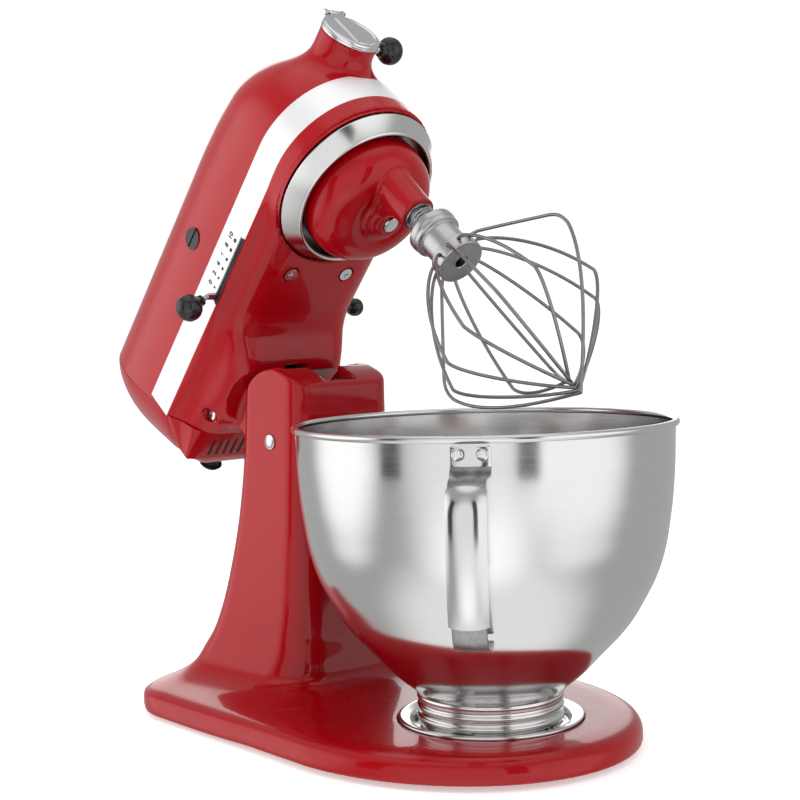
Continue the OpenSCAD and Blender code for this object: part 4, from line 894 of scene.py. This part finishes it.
block("Hub_cap_tab", (71.2, -4.9, 315.0), (72.9, 4.9, 319.0), 0.3, "bright_chrome", "hub_cap", HM)
for sy in (-1, 1):
    y0 = min(sy * 5.3, sy * 8.1)
    block("Hub_ear_a%d" % (sy + 1), (69.1, y0, 314.2), (71.0, y0 + 2.8, 320.6), 0.4, "bright_chrome", "head", HM)
    block("Hub_ear_b%d" % (sy + 1), (70.9, y0, 316.9), (73.5, y0 + 2.8, 320.6), 0.7, "bright_chrome", "head", HM)
pts = rnd([(-15.2, -4.0), (15.2, -4.0), (15.2, 4.0), (-15.2, 4.0)], 1.6, 4, True)
nn = len(pts)
Vv = [(a, b, 72.1) for a, b in pts] + [(a * 0.99, b * 0.93, 72.9) for a, b in pts]
Ff = [(j, (j + 1) % nn, nn + (j + 1) % nn, nn + j) for j in range(nn)] + [list(range(nn)), [nn + j for j in range(nn)]]
mk("Hub_cap_bar", (Vv, Ff), "bright_chrome", "hub_cap", AX, 40)
KN = HM @ shift(62, 0, 298) @ rot("X", -90)
kp = [(2.52, 27.6), (4.3, 27.6), (4.9, 29.8), (6.5, 31.2), (8.2, 33.6), (8.75, 36.4), (8.3, 39.4), (6.7, 42.0), (4.1, 43.6), (0, 44.1)]
kc = [tuple(p) for p in catmull([(4.3, 27.7), (4.9, 29.8), (6.5, 31.2), (8.2, 33.6), (8.75, 36.4), (8.3, 39.4), (6.7, 42.0), (4.1, 43.6), (0, 44.05)], 6)]
turned("Hub_knob", [(0, 27.7), (4.0, 27.6)] + kc, "black_knob", "hub_knob", KN, ("hub_knob",), 96, False)
SK = HM @ shift(-99 + 1.9, -60.5, 254) @ rot("X", 90) @ rot("X", 14.2) @ rot("Y", -23.8)
sk = catmull([(3.4, 4.5), (4.2, 7.5), (6.6, 9.7), (8.2, 12.5), (8.55, 15.5), (7.8, 18.7), (5.4, 21.4), (2.6, 22.7), (0, 22.95)], 6)
turned("Speed_knob", [(0, 4.5)] + [tuple(p) for p in sk], "black_knob", "speed_lever", SK, ("speed_knob",), 96, False)
LK = HM @ shift(-107, 56.5, 251.9) @ rot("X", -90)
lk = catmull([(2.8, 0.5), (3.2, 2), (5, 3.8), (6.1, 6.6), (5.8, 10), (3.8, 12.3), (0, 13)], 6)
turned("Lock_knob", [(0, 0.5)] + [tuple(p) for p in lk], "black_knob", "head_lock", LK, ("lock_knob",), 80, False)

# ---------------------------------------------------------------- floor, light, camera
fm, nt, p = nodes_of("floor_pale")
v = coords(nt, False, (1, 1, 1))
nt.links.new(ramp(nt, noise(nt, v, 3, 3), (0.86, 0.86, 0.86), (0.88, 0.88, 0.88)), p.inputs["Base Color"])
nt.links.new(remap(nt, noise(nt, v, 30, 3), 0.55, 0.65), p.inputs["Roughness"])
p.inputs["Emission Color"].default_value = (1, 1, 1, 1)
p.inputs["Emission Strength"].default_value = 0.42
p.inputs["Specular IOR Level"].default_value = 0.1
me = bpy.data.meshes.new("Floor")
bm = bmesh.new(); bmesh.ops.create_grid(bm, x_segments=8, y_segments=8, size=14); bm.to_mesh(me); bm.free()
fl = bpy.data.objects.new("Floor", me); scene.collection.objects.link(fl); fl.location = (0, 0, -0.0002)
me.materials.append(fm); fl.visible_glossy = False

w = scene.world or bpy.data.worlds.new("World"); scene.world = w; w.use_nodes = True
nt = w.node_tree; nt.nodes.clear()
out = nt.nodes.new("ShaderNodeOutputWorld")
bg1 = nt.nodes.new("ShaderNodeBackground"); bg1.inputs["Color"].default_value = (1, 1, 1, 1); bg1.inputs["Strength"].default_value = 1.12
bg3 = nt.nodes.new("ShaderNodeBackground"); bg3.inputs["Color"].default_value = (1, 1, 1, 1); bg3.inputs["Strength"].default_value = 0.72
bg2 = nt.nodes.new("ShaderNodeBackground"); bg2.inputs["Strength"].default_value = 1.0
tc = nt.nodes.new("ShaderNodeTexCoord")
acc = None


def add(sock, a, b):
    m_ = nt.nodes.new("ShaderNodeMath"); m_.operation = "ADD"
    nt.links.new(a, m_.inputs[0])
    if isinstance(b, float):
        m_.inputs[1].default_value = b
    else:
        nt.links.new(b, m_.inputs[1])
    return m_.outputs[0]


# soft boxes seen only in reflections: direction, cosines of the edge, brightness
BOXES = [((-0.74, -0.66, 0.12), 0.80, 0.95, 0.95), ((0.60, -0.80, 0.02), 0.60, 0.92, 0.55), ((0.90, 0.20, 0.10), 0.72, 0.93, 0.75),
         ((0, 0, 1), 0.80, 0.94, 0.55), ((-0.74, 0.62, 0.28), 0.92, 0.97, 1.3), ((0.3, -0.3, -0.9), 0.50, 0.9, 0.55)]
for dr_, c0, c1, val in BOXES:
    dp = nt.nodes.new("ShaderNodeVectorMath"); dp.operation = "DOT_PRODUCT"
    nt.links.new(tc.outputs["Generated"], dp.inputs[0])
    dp.inputs[1].default_value = Vector(dr_).normalized()
    mr = nt.nodes.new("ShaderNodeMapRange"); mr.interpolation_type = "SMOOTHSTEP"
    mr.inputs["From Min"].default_value = c0; mr.inputs["From Max"].default_value = c1
    mr.inputs["To Min"].default_value = 0.0; mr.inputs["To Max"].default_value = val
    nt.links.new(dp.outputs["Value"], mr.inputs["Value"])
    acc = add(nt, mr.outputs["Result"], 0.46 if acc is None else acc)
cmb = nt.nodes.new("ShaderNodeCombineXYZ")
for k_ in range(3):
    nt.links.new(acc, cmb.inputs[k_])
nt.links.new(cmb.outputs[0], bg2.inputs["Color"])
lp = nt.nodes.new("ShaderNodeLightPath")
ma = nt.nodes.new("ShaderNodeMixShader"); mx = nt.nodes.new("ShaderNodeMixShader")
nt.links.new(lp.outputs["Is Diffuse Ray"], ma.inputs["Fac"])
nt.links.new(bg2.outputs[0], ma.inputs[1]); nt.links.new(bg3.outputs[0], ma.inputs[2])
nt.links.new(lp.outputs["Is Camera Ray"], mx.inputs["Fac"])
nt.links.new(ma.outputs[0], mx.inputs[1]); nt.links.new(bg1.outputs[0], mx.inputs[2])
nt.links.new(mx.outputs[0], out.inputs["Surface"])


def area(name, loc, target, size, size_y, power, color=(1, 1, 1)):
    L = bpy.data.lights.new(name, "AREA"); L.shape = "RECTANGLE"; L.size = size; L.size_y = size_y
    L.energy = power; L.color = color
    o = bpy.data.objects.new(name, L); scene.collection.objects.link(o)
    o.location = loc
    d = Vector(target) - Vector(loc)
    o.rotation_euler = d.to_track_quat("-Z", "Y").to_euler()
    o.visible_glossy = False
    return o


area("Soft_left", (-1.15, -1.25, 0.75), (-0.1, 0, 0.2), 0.9, 1.3, 13)
area("Soft_top", (0.1, -0.3, 1.7), (0, 0, 0.15), 1.4, 1.2, 9)
area("Soft_right", (1.5, 0.7, 0.8), (0, 0, 0.15), 0.8, 1.2, 6)
area("Soft_front", (0.9, -1.5, 0.55), (0, 0, 0.12), 0.5, 0.9, 2)


def card(name, loc, target, sx, sy, val):
    me = bpy.data.meshes.new(name)
    bm = bmesh.new(); bmesh.ops.create_grid(bm, x_segments=2, y_segments=2, size=0.5)
    for q in bm.verts:
        q.co.x *= sx; q.co.y *= sy
    bm.to_mesh(me); bm.free()
    o = bpy.data.objects.new(name, me); scene.collection.objects.link(o)
    o.location = loc
    d = Vector(target) - Vector(loc)
    o.rotation_euler = d.to_track_quat("-Z", "Y").to_euler()
    m, nt, p = nodes_of(name + "_paint")
    vv = coords(nt, False, (1, 1, 1))
    nt.links.new(ramp(nt, noise(nt, vv, 4, 2), (val, val, val), (val * 1.1, val * 1.1, val * 1.1)), p.inputs["Base Color"])
    p.inputs["Roughness"].default_value = 0.9
    me.materials.append(m)
    o.visible_camera = False; o.visible_shadow = False; o.visible_diffuse = False


card("Card_dark_left", (-0.25, -1.35, 0.45), (0, 0, 0.15), 0.34, 1.1, 0.015)
card("Card_dark_right", (1.15, -0.45, 0.45), (0, 0, 0.15), 0.30, 1.1, 0.02)

psi, g, t, rho = math.radians(44.46), math.radians(3.09), math.radians(3.45), math.radians(-1.53)
Fv = Vector((-math.sin(psi), math.cos(psi), 0)); Rv = Vector((math.cos(psi), math.sin(psi), 0)); U = Vector((0, 0, 1))
F1 = Fv * math.cos(g) - Rv * math.sin(g); R1 = Rv * math.cos(g) + Fv * math.sin(g)
F2 = F1 * math.cos(t) - U * math.sin(t); U2 = U * math.cos(t) + F1 * math.sin(t)
XC = R1 * math.cos(rho) + U2 * math.sin(rho); YC = U2 * math.cos(rho) - R1 * math.sin(rho)
cam = bpy.data.cameras.new("Camera"); cam.sensor_width = 36; cam.lens = 69.64; cam.clip_start = 0.05
co_ = bpy.data.objects.new("Camera", cam); scene.collection.objects.link(co_)
M = Matrix.Identity(4)
for k_ in range(3):
    M[k_][0] = XC[k_]; M[k_][1] = YC[k_]; M[k_][2] = -F2[k_]
M[0][3], M[1][3], M[2][3] = 0.6140, -0.6257, 0.25316
co_.matrix_world = M
scene.camera = co_
scene.view_settings.view_transform = "Standard"
scene.view_settings.look = "None"
